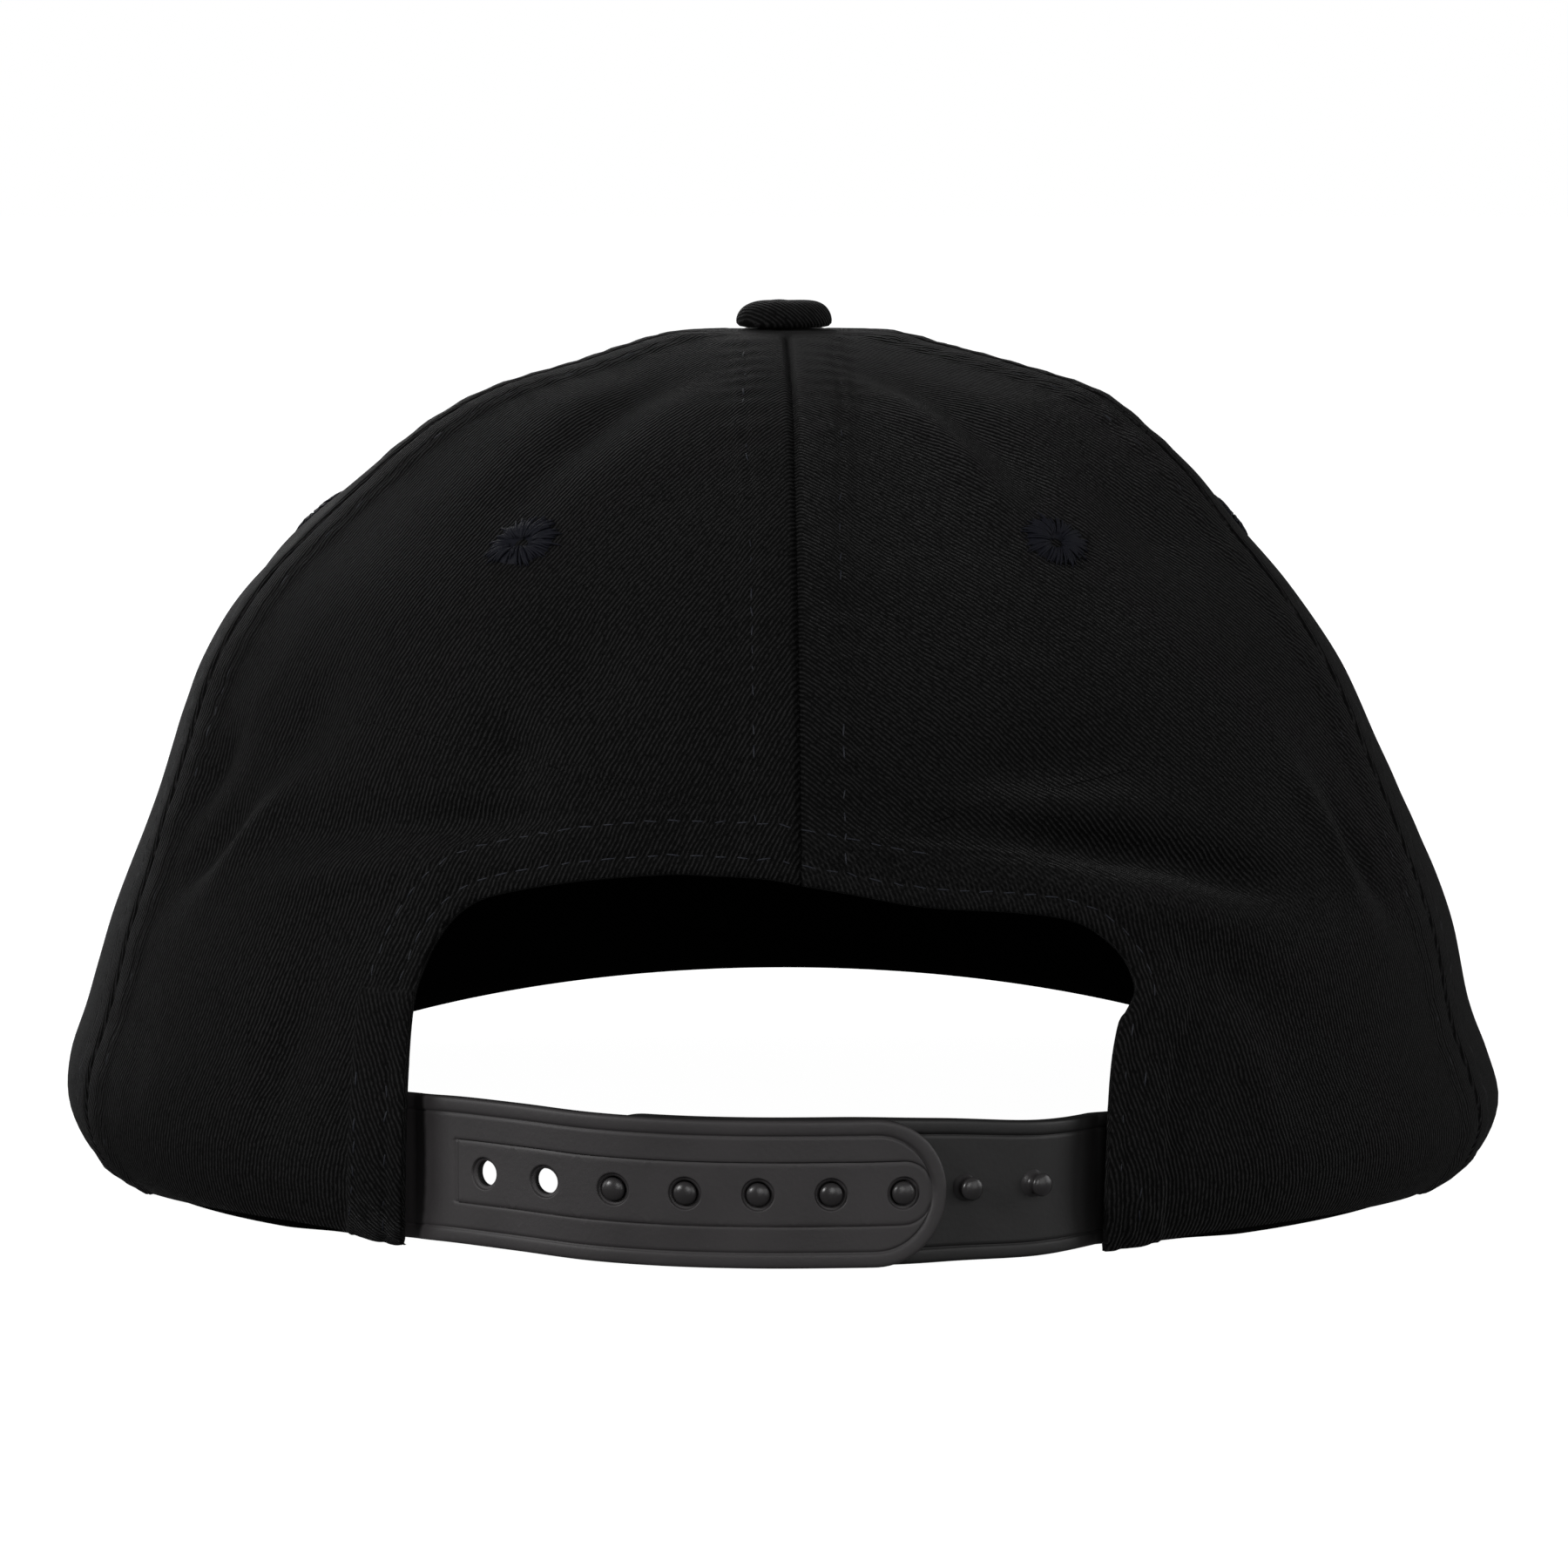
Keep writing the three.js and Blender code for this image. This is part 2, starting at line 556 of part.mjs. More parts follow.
// Peak: it starts along the outside of the lifted front edge and bends across, so that its
// sides come down to the level of the rim
const rimHalfWidth = section(1, 0) * CROWN_WIDTH / 2;
const rimFront = section(4, 0) * CROWN_DEPTH / 2;
function peakPoint(u, v, height) {
  const angle = Math.PI + radians((u - 0.5) * PEAK_SPAN);
  const turn = (u - 0.5) * Math.PI;
  const top = lift(angle) + height;
  const row = rowWhere((at) => crownPoint(angle, at).z, Math.max(top, 1e-3));
  const inner = offCrown(angle, row, GAP);
  const end = crownPoint(Math.PI + radians(PEAK_SPAN / 2), 0).y + PEAK_END;
  const outerX = -PEAK_WIDTH / 2 * Math.sign(turn) * Math.abs(Math.sin(turn)) ** 0.9;
  const outerY = end + (rimFront + PEAK_LENGTH - end) * Math.max(Math.cos(turn), 0) ** 0.62;
  const x = lerp(inner.x, outerX, v);
  const y = lerp(inner.y, outerY, v);
  const across = FRONT_LIFT * (1 - (x / rimHalfWidth) ** 2);
  const down = PEAK_DROP * v * Math.hypot(outerX - inner.x, outerY - inner.y) / PEAK_LENGTH;
  const low = Math.max(lerp(lift(angle), across - down, Math.min(v * 4, 1)), 0);
  return new THREE.Vector3(x, y, low + height);
}
place('peak', sheet(26, 6,
  (u, v) => peakPoint(u, v, 0),
  (u, v) => peakPoint(u, v, PEAK_THICKNESS)), black);

export default cap;
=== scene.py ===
"""Black snapback cap seen from behind: the finish of each piece over the CAD frame.

Every function of a surface works in millimetres and in whole arrays; put_mesh turns the
millimetres into metres.
"""
import bmesh
import bpy
import numpy as np
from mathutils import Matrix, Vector


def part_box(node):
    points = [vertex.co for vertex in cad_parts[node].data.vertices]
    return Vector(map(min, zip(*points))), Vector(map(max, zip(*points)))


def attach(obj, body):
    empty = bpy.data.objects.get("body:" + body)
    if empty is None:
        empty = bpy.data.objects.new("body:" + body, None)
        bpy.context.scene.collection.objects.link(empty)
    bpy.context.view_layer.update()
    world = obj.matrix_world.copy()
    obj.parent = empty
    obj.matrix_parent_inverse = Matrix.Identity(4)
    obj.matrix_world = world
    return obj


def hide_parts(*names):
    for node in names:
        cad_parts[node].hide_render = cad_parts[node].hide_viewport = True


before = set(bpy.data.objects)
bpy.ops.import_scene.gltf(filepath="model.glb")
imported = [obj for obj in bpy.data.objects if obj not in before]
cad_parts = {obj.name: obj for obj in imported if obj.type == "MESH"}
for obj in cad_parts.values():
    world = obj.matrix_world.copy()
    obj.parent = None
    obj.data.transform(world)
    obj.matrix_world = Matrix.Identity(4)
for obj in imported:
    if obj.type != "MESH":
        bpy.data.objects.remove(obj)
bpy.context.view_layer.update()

# Camera, floor and light. The photograph looks at the back of the cap from about a metre,
# a little from above, on a white ground under soft light from all round.

camera_data = bpy.data.cameras.new("camera")
camera_data.sensor_width = 36
camera_data.lens = 165.05
camera = bpy.data.objects.new("camera", camera_data)
camera.location = (0, -1.0, 0.1462)
camera.rotation_euler = (Vector((0, 0, 0.0526)) - camera.location).to_track_quat("-Z", "Y").to_euler()
bpy.context.collection.objects.link(camera)
bpy.context.scene.camera = camera
bpy.context.scene.view_settings.view_transform = "Standard"

# The camera sees a white world; the cap is lit by a dimmer one, darker below than above
world = bpy.data.worlds.new("studio")
world.use_nodes = True
sky = world.node_tree
white = sky.nodes["Background"]
white.inputs["Color"].default_value = (1, 1, 1, 1)
direction = sky.nodes.new("ShaderNodeTexCoord")
parts = sky.nodes.new("ShaderNodeSeparateXYZ")
sky.links.new(direction.outputs["Generated"], parts.inputs[0])
gradient = sky.nodes.new("ShaderNodeMapRange")
sky.links.new(parts.outputs["Z"], gradient.inputs["Value"])
for socket, number in (("From Min", -0.5), ("From Max", 0.9), ("To Min", 0.22), ("To Max", 0.42)):
    gradient.inputs[socket].default_value = number
dim = sky.nodes.new("ShaderNodeBackground")
sky.links.new(gradient.outputs["Result"], dim.inputs["Strength"])
path = sky.nodes.new("ShaderNodeLightPath")
choice = sky.nodes.new("ShaderNodeMixShader")
sky.links.new(path.outputs["Is Camera Ray"], choice.inputs[0])
sky.links.new(dim.outputs[0], choice.inputs[1])
sky.links.new(white.outputs[0], choice.inputs[2])
sky.links.new(choice.outputs[0], sky.nodes["World Output"].inputs["Surface"])
bpy.context.scene.world = world


def soft_box(name, place, size, watts):
    """Square area light at a place, turned to the middle of the cap."""
    light = bpy.data.lights.new(name, "AREA")
    light.size = size
    light.energy = watts
    box = bpy.data.objects.new(name, light)
    box.location = place
    box.rotation_euler = (Vector((0, 0, 0.06)) - box.location).to_track_quat("-Z", "Y").to_euler()
    bpy.context.collection.objects.link(box)


soft_box("light_key", (-1.15, -0.95, 0.75), 0.4, 29)
soft_box("light_fill", (1.15, -0.95, 0.45), 0.9, 8)
soft_box("light_front", (0.3, -1.35, 0.5), 0.6, 9)
soft_box("light_behind", (-0.5, 1.4, 0.6), 0.9, 17)
soft_box("light_left", (-1.3, 0.1, 0.45), 0.8, 7)
soft_box("light_right", (1.3, 0.1, 0.45), 0.8, 9)

floor_mesh = bpy.data.meshes.new("floor")
floor_mesh.from_pydata([(-9, -9, 0), (9, -9, 0), (9, 9, 0), (-9, 9, 0)], [], [(0, 1, 2, 3)])
floor = bpy.data.objects.new("floor", floor_mesh)
bpy.context.collection.objects.link(floor)
floor.visible_diffuse = False
floor.visible_glossy = False
floor_paint = bpy.data.materials.new("floor")
floor_paint.use_nodes = True
floor_shader = floor_paint.node_tree.nodes["Principled BSDF"]
floor_shader.inputs["Base Color"].default_value = (0.12, 0.12, 0.12, 1)
floor_shader.inputs["Roughness"].default_value = 1.0
floor_shader.inputs["Specular IOR Level"].default_value = 0.0
floor_shader.inputs["Emission Color"].default_value = (1, 1, 1, 1)
floor_shader.inputs["Emission Strength"].default_value = 0.99
floor_mesh.materials.append(floor_paint)

# Crown: six gores of cotton twill sewn edge to edge and pressed by wear into soft folds. The
# functions here give its form; the panels below are cut from it.

CROWN_WIDTH, CROWN_DEPTH, CROWN_HEIGHT, FRONT_LIFT = 200, 190, 116.3, 16
CLOTH = 1.6
SEAM_RIDGE, SEAM_RIDGE_SPREAD, BUTTON_RADIUS = 1.0, 9, 6.65
SEAM_ANGLES = (1.4, 71, 128, 180, 232, 289)
# Sections: height, then the reach to the left, right, back and front, all as shares
SECTIONS = np.array([
    (0.000, 0.925, 0.930, 0.983, 0.983),
    (0.030, 0.970, 0.975, 0.990, 0.988),
    (0.080, 0.998, 0.998, 0.995, 0.992),
    (0.135, 0.996, 0.982, 0.995, 0.992),
    (0.200, 0.971, 0.955, 0.990, 0.990),
    (0.300, 0.937, 0.929, 0.975, 0.982),
    (0.403, 0.892, 0.882, 0.945, 0.965),
    (0.504, 0.851, 0.828, 0.900, 0.938),
    (0.605, 0.810, 0.773, 0.840, 0.895),
    (0.695, 0.745, 0.702, 0.765, 0.835),
    (0.771, 0.657, 0.626, 0.675, 0.755),
    (0.831, 0.578, 0.570, 0.585, 0.665),
    (0.881, 0.503, 0.506, 0.490, 0.570),
    (0.921, 0.415, 0.437, 0.395, 0.465),
    (0.951, 0.298, 0.322, 0.305, 0.355),
    (0.975, 0.218, 0.222, 0.215, 0.250),
    (0.991, 0.150, 0.155, 0.130, 0.150),
    (1.000, 0.022, 0.022, 0.022, 0.022)])
TOP_ROW = len(SECTIONS) - 1
# Folds: degrees round, height share, turn in degrees, half length, half width and rise in mm
FOLDS = np.array([
    (30.5, 0.438, -11, 20, 3.6, -2.2), (41.9, 0.398, -14, 10, 3.6, -1.3),
    (31.0, 0.385, -14, 18, 4.6, 1.2), (23.6, 0.533, 5, 14, 5, -1.2),
    (26.3, 0.487, -5, 15, 3.6, 0.8), (56.3, 0.441, -76, 10, 4, 1.0),
    (61.0, 0.404, -71, 9, 3.6, -1.1), (38.2, 0.291, -21, 8, 6, -1.0),
    (39.0, 0.208, -75, 10, 4.6, 0.8), (51.0, 0.800, -74, 12, 8, -0.9),
    (25.2, 0.882, -71, 16, 4, 0.8), (32.7, 0.895, -73, 15, 5, -1.1),
    (-33.4, 0.900, 80, 16, 6, -1.2), (-19.3, 0.647, -41, 10, 7, -1.3),
    (-25.2, 0.551, -52, 6, 4.6, -1.4), (-27.1, 0.476, 3, 9, 3.2, -1.3),
    (-49.9, 0.564, 65, 10, 8, -1.2), (-58.6, 0.424, 44, 10, 3.6, -1.3),
    (-53.6, 0.445, 48, 11, 4, 1.0), (-63.5, 0.492, 64, 8, 3, -0.9),
    (-38.7, 0.456, 5, 16, 4.6, -1.2), (-38.7, 0.411, 10, 18, 5, 1.1),
    (-41.6, 0.215, 85, 14, 5, -0.9), (106.0, 0.380, -18, 18, 8, -1.4),
    (254.0, 0.400, 14, 18, 8, -1.4), (148.0, 0.330, 8, 24, 9, -1.0),
    (214.0, 0.350, -10, 22, 8, -1.0)])


def curve_at(values, row):
    """Catmull-Rom curve through evenly spaced values, at rows counted from the first."""
    last = len(values) - 1
    row = np.clip(row, 0, last - 1e-9)
    i = np.floor(row).astype(int)
    t = row - i
    p1 = values[i]
    p2 = values[i + 1]
    p0 = np.where(i > 0, values[i - 1], 2 * p1 - p2)
    p3 = np.where(i + 2 <= last, values[np.minimum(i + 2, last)], 2 * p2 - p1)
    bend = (2 * p0 - 5 * p1 + 4 * p2 - p3) * t + (p2 - p0)
    return 0.5 * (2 * p1 + bend * t + (3 * p1 - p0 - 3 * p2 + p3) * t ** 3)


def section(column, row):
    """One column of the sections at a row counted from the rim."""
    return curve_at(SECTIONS[:, column], row)


def crown_form(angle, row):
    """x = right or left reach times sin(angle), y = -back or front reach times cos(angle),
    z = the height share of what the front lift leaves."""
    across = np.where(np.sin(angle) > 0, section(2, row), section(1, row)) * CROWN_WIDTH / 2
    along = np.where(np.cos(angle) > 0, section(3, row), section(4, row)) * CROWN_DEPTH / 2
    low = FRONT_LIFT * np.maximum(-np.cos(angle), 0) ** 1.3
    high = low + section(0, row) * (CROWN_HEIGHT - low)
    return np.stack([across * np.sin(angle), -along * np.cos(angle), high], -1)


def out_of(surface, angle, row):
    """Unit normal: the way round times the way up, level along the lower edge."""
    step = 1e-3
    top = np.minimum(row + step, TOP_ROW)
    around = surface(angle + step, row) - surface(angle - step, row)
    up = surface(angle, top) - surface(angle, top - 2 * step)
    up = np.where((row < 1e-6)[..., None], np.array([0, 0, 1.0]), up)
    normal = np.cross(around, up)
    return normal / np.linalg.norm(normal, axis=-1, keepdims=True)


CLIMB = np.concatenate([[0], np.cumsum(np.hypot(
    np.diff(SECTIONS[:, 0]) * CROWN_HEIGHT, np.diff(SECTIONS[:, 2]) * CROWN_WIDTH / 2))])
FINE_ROWS = np.linspace(0, TOP_ROW, 4000)
FINE_HEIGHTS = section(0, FINE_ROWS)


def climb(row):
    """Way up the cloth from the rim to a row, in mm."""
    return np.interp(row, np.arange(TOP_ROW + 1), CLIMB)


def row_at(height):
    """Row whose height share is the one given."""
    return np.interp(height, FINE_HEIGHTS, FINE_ROWS)


def between(a, b):
    """Signed difference of two angles, within half a turn."""
    return (a - b + np.pi) % (2 * np.pi) - np.pi


def ease(value, low, high):
    """0 below low, 1 above high, and 3t2 - 2t3 between."""
    t = np.clip((value - low) / (high - low), 0, 1)
    return t * t * (3 - 2 * t)


def crown(angle, row):
    """The form, moved out along its normal by the ridge of the nearest seam and by each fold,
    rise * exp(-(along / length)2 - (across / width)2)."""
    angle, row = np.broadcast_arrays(np.asarray(angle, float), np.asarray(row, float))
    form = crown_form(angle, row)
    reach = np.hypot(form[..., 0], form[..., 1])
    away = np.min([np.abs(between(angle, np.radians(seam))) for seam in SEAM_ANGLES], axis=0)
    ridge = np.exp(-(away * reach / SEAM_RIDGE_SPREAD) ** 2)
    rise = SEAM_RIDGE * ridge * np.clip((section(0, row) - 0.25) / 0.3, 0, 1)
    rise = rise * ease(reach, BUTTON_RADIUS, 4 * SEAM_RIDGE_SPREAD)
    for degrees, height, turn, length, width, out in FOLDS:
        side = between(angle, np.radians(degrees)) * reach
        up = climb(row) - climb(row_at(height))
        cos, sin = np.cos(np.radians(turn)), np.sin(np.radians(turn))
        rise = rise + out * np.exp(
            -((side * cos + up * sin) / length) ** 2 - ((up * cos - side * sin) / width) ** 2)
    return form + out_of(crown_form, angle, row) * rise[..., None]


def off_crown(angle, row, off):
    """Point of the crown moved off along its own normal, in mm."""
    angle, row = np.broadcast_arrays(np.asarray(angle, float), np.asarray(row, float))
    off = np.broadcast_to(off, angle.shape)
    return crown(angle, row) + out_of(crown, angle, row) * off[..., None]


def put_mesh(name, points, faces, smooth=True):
    """Mesh object from points in mm and a list or an array of faces."""
    mesh = bpy.data.meshes.new(name)
    corners = (np.asarray(points).reshape(-1, 3) * 0.001).tolist()
    mesh.from_pydata(corners, [], faces.tolist() if isinstance(faces, np.ndarray) else faces)
    mesh.polygons.foreach_set("use_smooth", np.full(len(mesh.polygons), smooth))
    mesh.update()
    piece = bpy.data.objects.new(name, mesh)
    bpy.context.collection.objects.link(piece)
    return piece


def grid_faces(rows, columns, start=0):
    """Quads of a grid of rows by columns points."""
    j, i = np.meshgrid(np.arange(rows - 1), np.arange(columns - 1), indexing="ij")
    a = (start + j * columns + i).ravel()
    return np.stack([a, a + 1, a + columns + 1, a + columns], -1)


def shell_faces(rows, columns):
    """Quads of two grids, outer and inner, joined along their four edges."""
    back = rows * columns
    outer = grid_faces(rows, columns)
    inner = grid_faces(rows, columns, back)[:, ::-1]
    index = np.arange(back).reshape(rows, columns)
    rim = np.concatenate([index[0, :-1], index[:-1, -1], index[-1, :0:-1], index[:0:-1, 0]])
    following = np.roll(rim, -1)
    wall = np.stack([following, rim, rim + back, following + back], -1)
    return np.concatenate([outer, inner, wall])


def put_shell(name, outer, inner):
    """Closed sheet from an outer and an inner grid of points in mm."""
    rows, columns = outer.shape[:2]
    points = np.concatenate([outer.reshape(-1, 3), inner.reshape(-1, 3)])
    return put_mesh(name, points, shell_faces(rows, columns))


def keep_vector(piece, name, values):
    """Point attribute of three numbers, for the material to read."""
    attribute = piece.data.attributes.new(name, "FLOAT_VECTOR", "POINT")
    attribute.data.foreach_set("vector", np.asarray(values, np.float32).ravel())


def add_node(tree, kind, values=None, **settings):
    """Shader node with its settings, and with numbers or links put into its sockets."""
    node = tree.nodes.new(kind)
    for key, value in settings.items():
        setattr(node, key, value)
    for key, value in (values or {}).items():
        if isinstance(value, bpy.types.NodeSocket):
            tree.links.new(value, node.inputs[key])
        else:
            node.inputs[key].default_value = value
    return node


def noise(tree, at, scale, detail):
    """Noise texture read at a vector."""
    return add_node(tree, "ShaderNodeTexNoise", {"Vector": at, "Scale": scale, "Detail": detail})


def scaled(tree, value, factor, extra):
    """value * factor + extra."""
    return add_node(tree, "ShaderNodeMath", {0: value, 1: factor, 2: extra}, operation="MULTIPLY_ADD")


def product(tree, value, factor):
    """value * factor."""
    return add_node(tree, "ShaderNodeMath", {0: value, 1: factor}, operation="MULTIPLY")


def bumped(tree, height, strength, distance):
    """Bump from a height, its distance in metres."""
    return add_node(tree, "ShaderNodeBump", {"Height": height, "Strength": strength, "Distance": distance})


RIB_PITCH = 0.62


def ribs_of_twill():
    """Node group: height of twill ribs RIB_PITCH mm apart, from the way across and along them,
    as a cosine across that is bent and broken along the rib by noise."""
    group = bpy.data.node_groups.new("twill_ribs", "ShaderNodeTree")
    group.interface.new_socket("across", in_out="INPUT", socket_type="NodeSocketFloat")
    group.interface.new_socket("along", in_out="INPUT", socket_type="NodeSocketFloat")
    group.interface.new_socket("height", in_out="OUTPUT", socket_type="NodeSocketFloat")
    given = group.nodes.new("NodeGroupInput")
    across, along = given.outputs["across"], given.outputs["along"]
    wander_at = add_node(group, "ShaderNodeCombineXYZ", {"X": across, "Y": along})
    wander = noise(group, wander_at.outputs[0], 0.35, 3.0)
    bent = scaled(group, wander.outputs["Fac"], 0.7, across)
    phase = product(group, bent.outputs[0], 2 * np.pi / RIB_PITCH)
    wave = add_node(group, "ShaderNodeMath", {0: phase.outputs[0]}, operation="COSINE")
    rib = scaled(group, wave.outputs[0], 0.5, 0.5)
    short_way = product(group, along, 0.45)
    yarn_at = add_node(group, "ShaderNodeCombineXYZ", {"X": across, "Y": short_way.outputs[0]})
    yarn = noise(group, yarn_at.outputs[0], 2.6, 4.0)
    uneven = scaled(group, yarn.outputs["Fac"], 2.2, -0.2)
    crisp = add_node(group, "ShaderNodeMath", {0: rib.outputs[0], 1: 1.7}, operation="POWER")
    height = product(group, crisp.outputs[0], uneven.outputs[0])
    result = group.nodes.new("NodeGroupOutput")
    group.links.new(height.outputs[0], result.inputs["height"])
    return group


twill_ribs = ribs_of_twill()


def cotton(name, low, high, sheen, bump):
    """Cotton twill: dark between the ribs and lighter on them, which is painted shade in the grooves, clouded
    a little over centimetres, with sparse pale specks of lint and a soft sheen at the grazing edges."""
    paint = bpy.data.materials.new(name)
    paint.use_nodes = True
    tree = paint.node_tree
    shader = tree.nodes["Principled BSDF"]
    weave = add_node(tree, "ShaderNodeAttribute", attribute_name="weave")
    weave_low = add_node(tree, "ShaderNodeAttribute", attribute_name="weave_low")
    first = add_node(tree, "ShaderNodeSeparateXYZ", {0: weave.outputs["Vector"]})
    second = add_node(tree, "ShaderNodeSeparateXYZ", {0: weave_low.outputs["Vector"]})
    ribs = []
    for way in (first, second):
        group = add_node(tree, "ShaderNodeGroup", node_tree=twill_ribs)
        tree.links.new(way.outputs["X"], group.inputs["across"])
        tree.links.new(way.outputs["Y"], group.inputs["along"])
        ribs.append(group.outputs["height"])
    height = add_node(tree, "ShaderNodeMix", {"Factor": first.outputs["Z"], "A": ribs[0], "B": ribs[1]})
    where = add_node(tree, "ShaderNodeTexCoord")
    cloud = noise(tree, where.outputs["Object"], 45.0, 5.0)
    fluff = noise(tree, where.outputs["Object"], 2000.0, 2.0)
    shade = scaled(tree, cloud.outputs["Fac"], 0.9, 0.55)
    grain = scaled(tree, fluff.outputs["Fac"], 4.2, -1.1)
    both = product(tree, shade.outputs[0], grain.outputs[0])
    # Painted shade: the colour runs from low in the grooves to high on the rib tops, times a random cloud and
    # grain of tone
    lit = product(tree, height.outputs["Result"], both.outputs[0])
    colour = add_node(tree, "ShaderNodeMix", {"Factor": lit.outputs[0], "A": (*low, 1), "B": (*high, 1)},
                      data_type="RGBA")
    lint = add_node(tree, "ShaderNodeTexVoronoi", {"Vector": where.outputs["Object"], "Scale": 75.0})
    speck = add_node(tree, "ShaderNodeMath", {0: lint.outputs["Distance"], 1: 0.011}, operation="LESS_THAN")
    sown = add_node(tree, "ShaderNodeSeparateColor", {0: lint.outputs["Color"]})
    some = add_node(tree, "ShaderNodeMath", {0: sown.outputs[0], 1: 0.55}, operation="GREATER_THAN")
    shown = product(tree, speck.outputs[0], some.outputs[0])
    finished = add_node(tree, "ShaderNodeMix", {"Factor": shown.outputs[0], "A": colour.outputs[2],
                                                "B": (0.10, 0.10, 0.10, 1)}, data_type="RGBA")
    tree.links.new(finished.outputs[2], shader.inputs["Base Color"])
    rough = scaled(tree, fluff.outputs["Fac"], 0.2, 0.8)
    tree.links.new(rough.outputs[0], shader.inputs["Roughness"])
    raised = scaled(tree, fluff.outputs["Fac"], 0.35, height.outputs["Result"])
    relief = bumped(tree, raised.outputs[0], bump, 0.0002)
    tree.links.new(relief.outputs[0], shader.inputs["Normal"])
    shader.inputs["Specular IOR Level"].default_value = 0.04
    shader.inputs["Sheen Weight"].default_value = sheen
    shader.inputs["Sheen Roughness"].default_value = 0.25
    return paint


# Low is the painted shade in the rib grooves, high the colour on the rib tops
cloth_paint = cotton("cotton_twill", (0.0003, 0.0003, 0.0003), (0.0074, 0.0073, 0.0074), 0.013, 1.0)
# The inner faces take a far darker copy of the same twill: painted shade for the inside of the crown
shaded_inside_paint = cotton("cotton_inside_painted_shade", (0.0004, 0.0004, 0.0004), (0.0010, 0.0010, 0.0010), 0.0, 0.4)

# Panels: the two at the back meet in a seam with its allowances pressed open and topstitched,
# and a turned hem runs round the opening; the other four meet in the same kind of seam.

OPENING_WIDTH, OPENING_HEIGHT, OPENING_SHIFT = 90, 49.2, -3.8
# Opening: across and up, as shares, from the left foot over the arch to the right foot
OPENING = np.array([
    (-0.506, 0.000), (-0.500, 0.410), (-0.491, 0.638), (-0.474, 0.744), (-0.454, 0.817),
    (-0.422, 0.886), (-0.373, 0.933), (-0.261, 0.976), (-0.134, 1.000), (-0.071, 1.000),
    (0.016, 0.990), (0.071, 0.972), (0.133, 0.953), (0.243, 0.917), (0.370, 0.896),
    (0.451, 0.868), (0.499, 0.821), (0.532, 0.760), (0.547, 0.687), (0.536, 0.635),
    (0.521, 0.587), (0.508, 0.409), (0.500, 0.000)])
HEM, SEAM_STITCH, INNER_STITCH, OUTER_STITCH = 8.4, 5.8, 2.5, 7.2
ROUND_SCALE = 95


def curve_through(points, count):
    """Uniform Catmull-Rom curve through the points, sampled evenly in the parameter."""
    t = np.linspace(0, len(points) - 1, count)
    i = np.minimum(t.astype(int), len(points) - 2)
    f = (t - i)[:, None]
    p0 = points[np.maximum(i - 1, 0)]
    p1 = points[i]
    p2 = points[i + 1]
    p3 = points[np.minimum(i + 2, len(points) - 1)]
    bend = 2 * p0 - 5 * p1 + 4 * p2 - p3 + (3 * p1 - p0 - 3 * p2 + p3) * f
    return 0.5 * (2 * p1 + (p2 - p0) * f + bend * f * f)


opening = curve_through(OPENING, 1200)
opening_x = OPENING_SHIFT + opening[:, 0] * OPENING_WIDTH
opening_row = row_at(np.clip(opening[:, 1], 0, None) * OPENING_HEIGHT / CROWN_HEIGHT)
opening_side = np.where(opening_x > 0, section(2, opening_row), section(1, opening_row)) * CROWN_WIDTH / 2
opening_angle = np.arcsin(opening_x / opening_side)
opening_edge = crown(opening_angle, opening_row)


def spread_evenly(angle, row, count, dense=0):
    """The same path at points evenly spaced on the cloth; the first few, dense, lie close together."""
    way = crown(angle, row)
    length = np.concatenate([[0], np.cumsum(np.linalg.norm(np.diff(way, axis=0), axis=1))])
    wanted = np.linspace(0, length[-1], count)
    if dense:
        close = 2.0 * np.linspace(0, 1, dense) ** 1.5
        wanted = np.concatenate([close, np.linspace(2.0, length[-1], count)[1:]])
    return np.interp(wanted, length, angle), np.interp(wanted, length, row)


def to_plane(angle, row):
    """Flat coordinates of the cloth in mm: round the crown, and up it."""
    return np.stack([angle * ROUND_SCALE, climb(row)], -1)


def inward(flat, turn, soften):
    """Unit vectors square to a flat path, to its left for turn 1 and its right for -1, averaged
    over a number of neighbours."""
    way = np.gradient(flat, axis=0)
    way = way / np.maximum(np.linalg.norm(way, axis=1, keepdims=True), 1e-9)
    square = np.stack([-way[:, 1], way[:, 0]], -1) * turn
    window = np.hanning(2 * soften + 1)
    padded = np.pad(square, ((soften, soften), (0, 0)), mode="edge")
    smooth = np.stack([np.convolve(padded[:, k], window / window.sum(), "valid") for k in (0, 1)], -1)
    return smooth / np.maximum(np.linalg.norm(smooth, axis=1, keepdims=True), 1e-9)


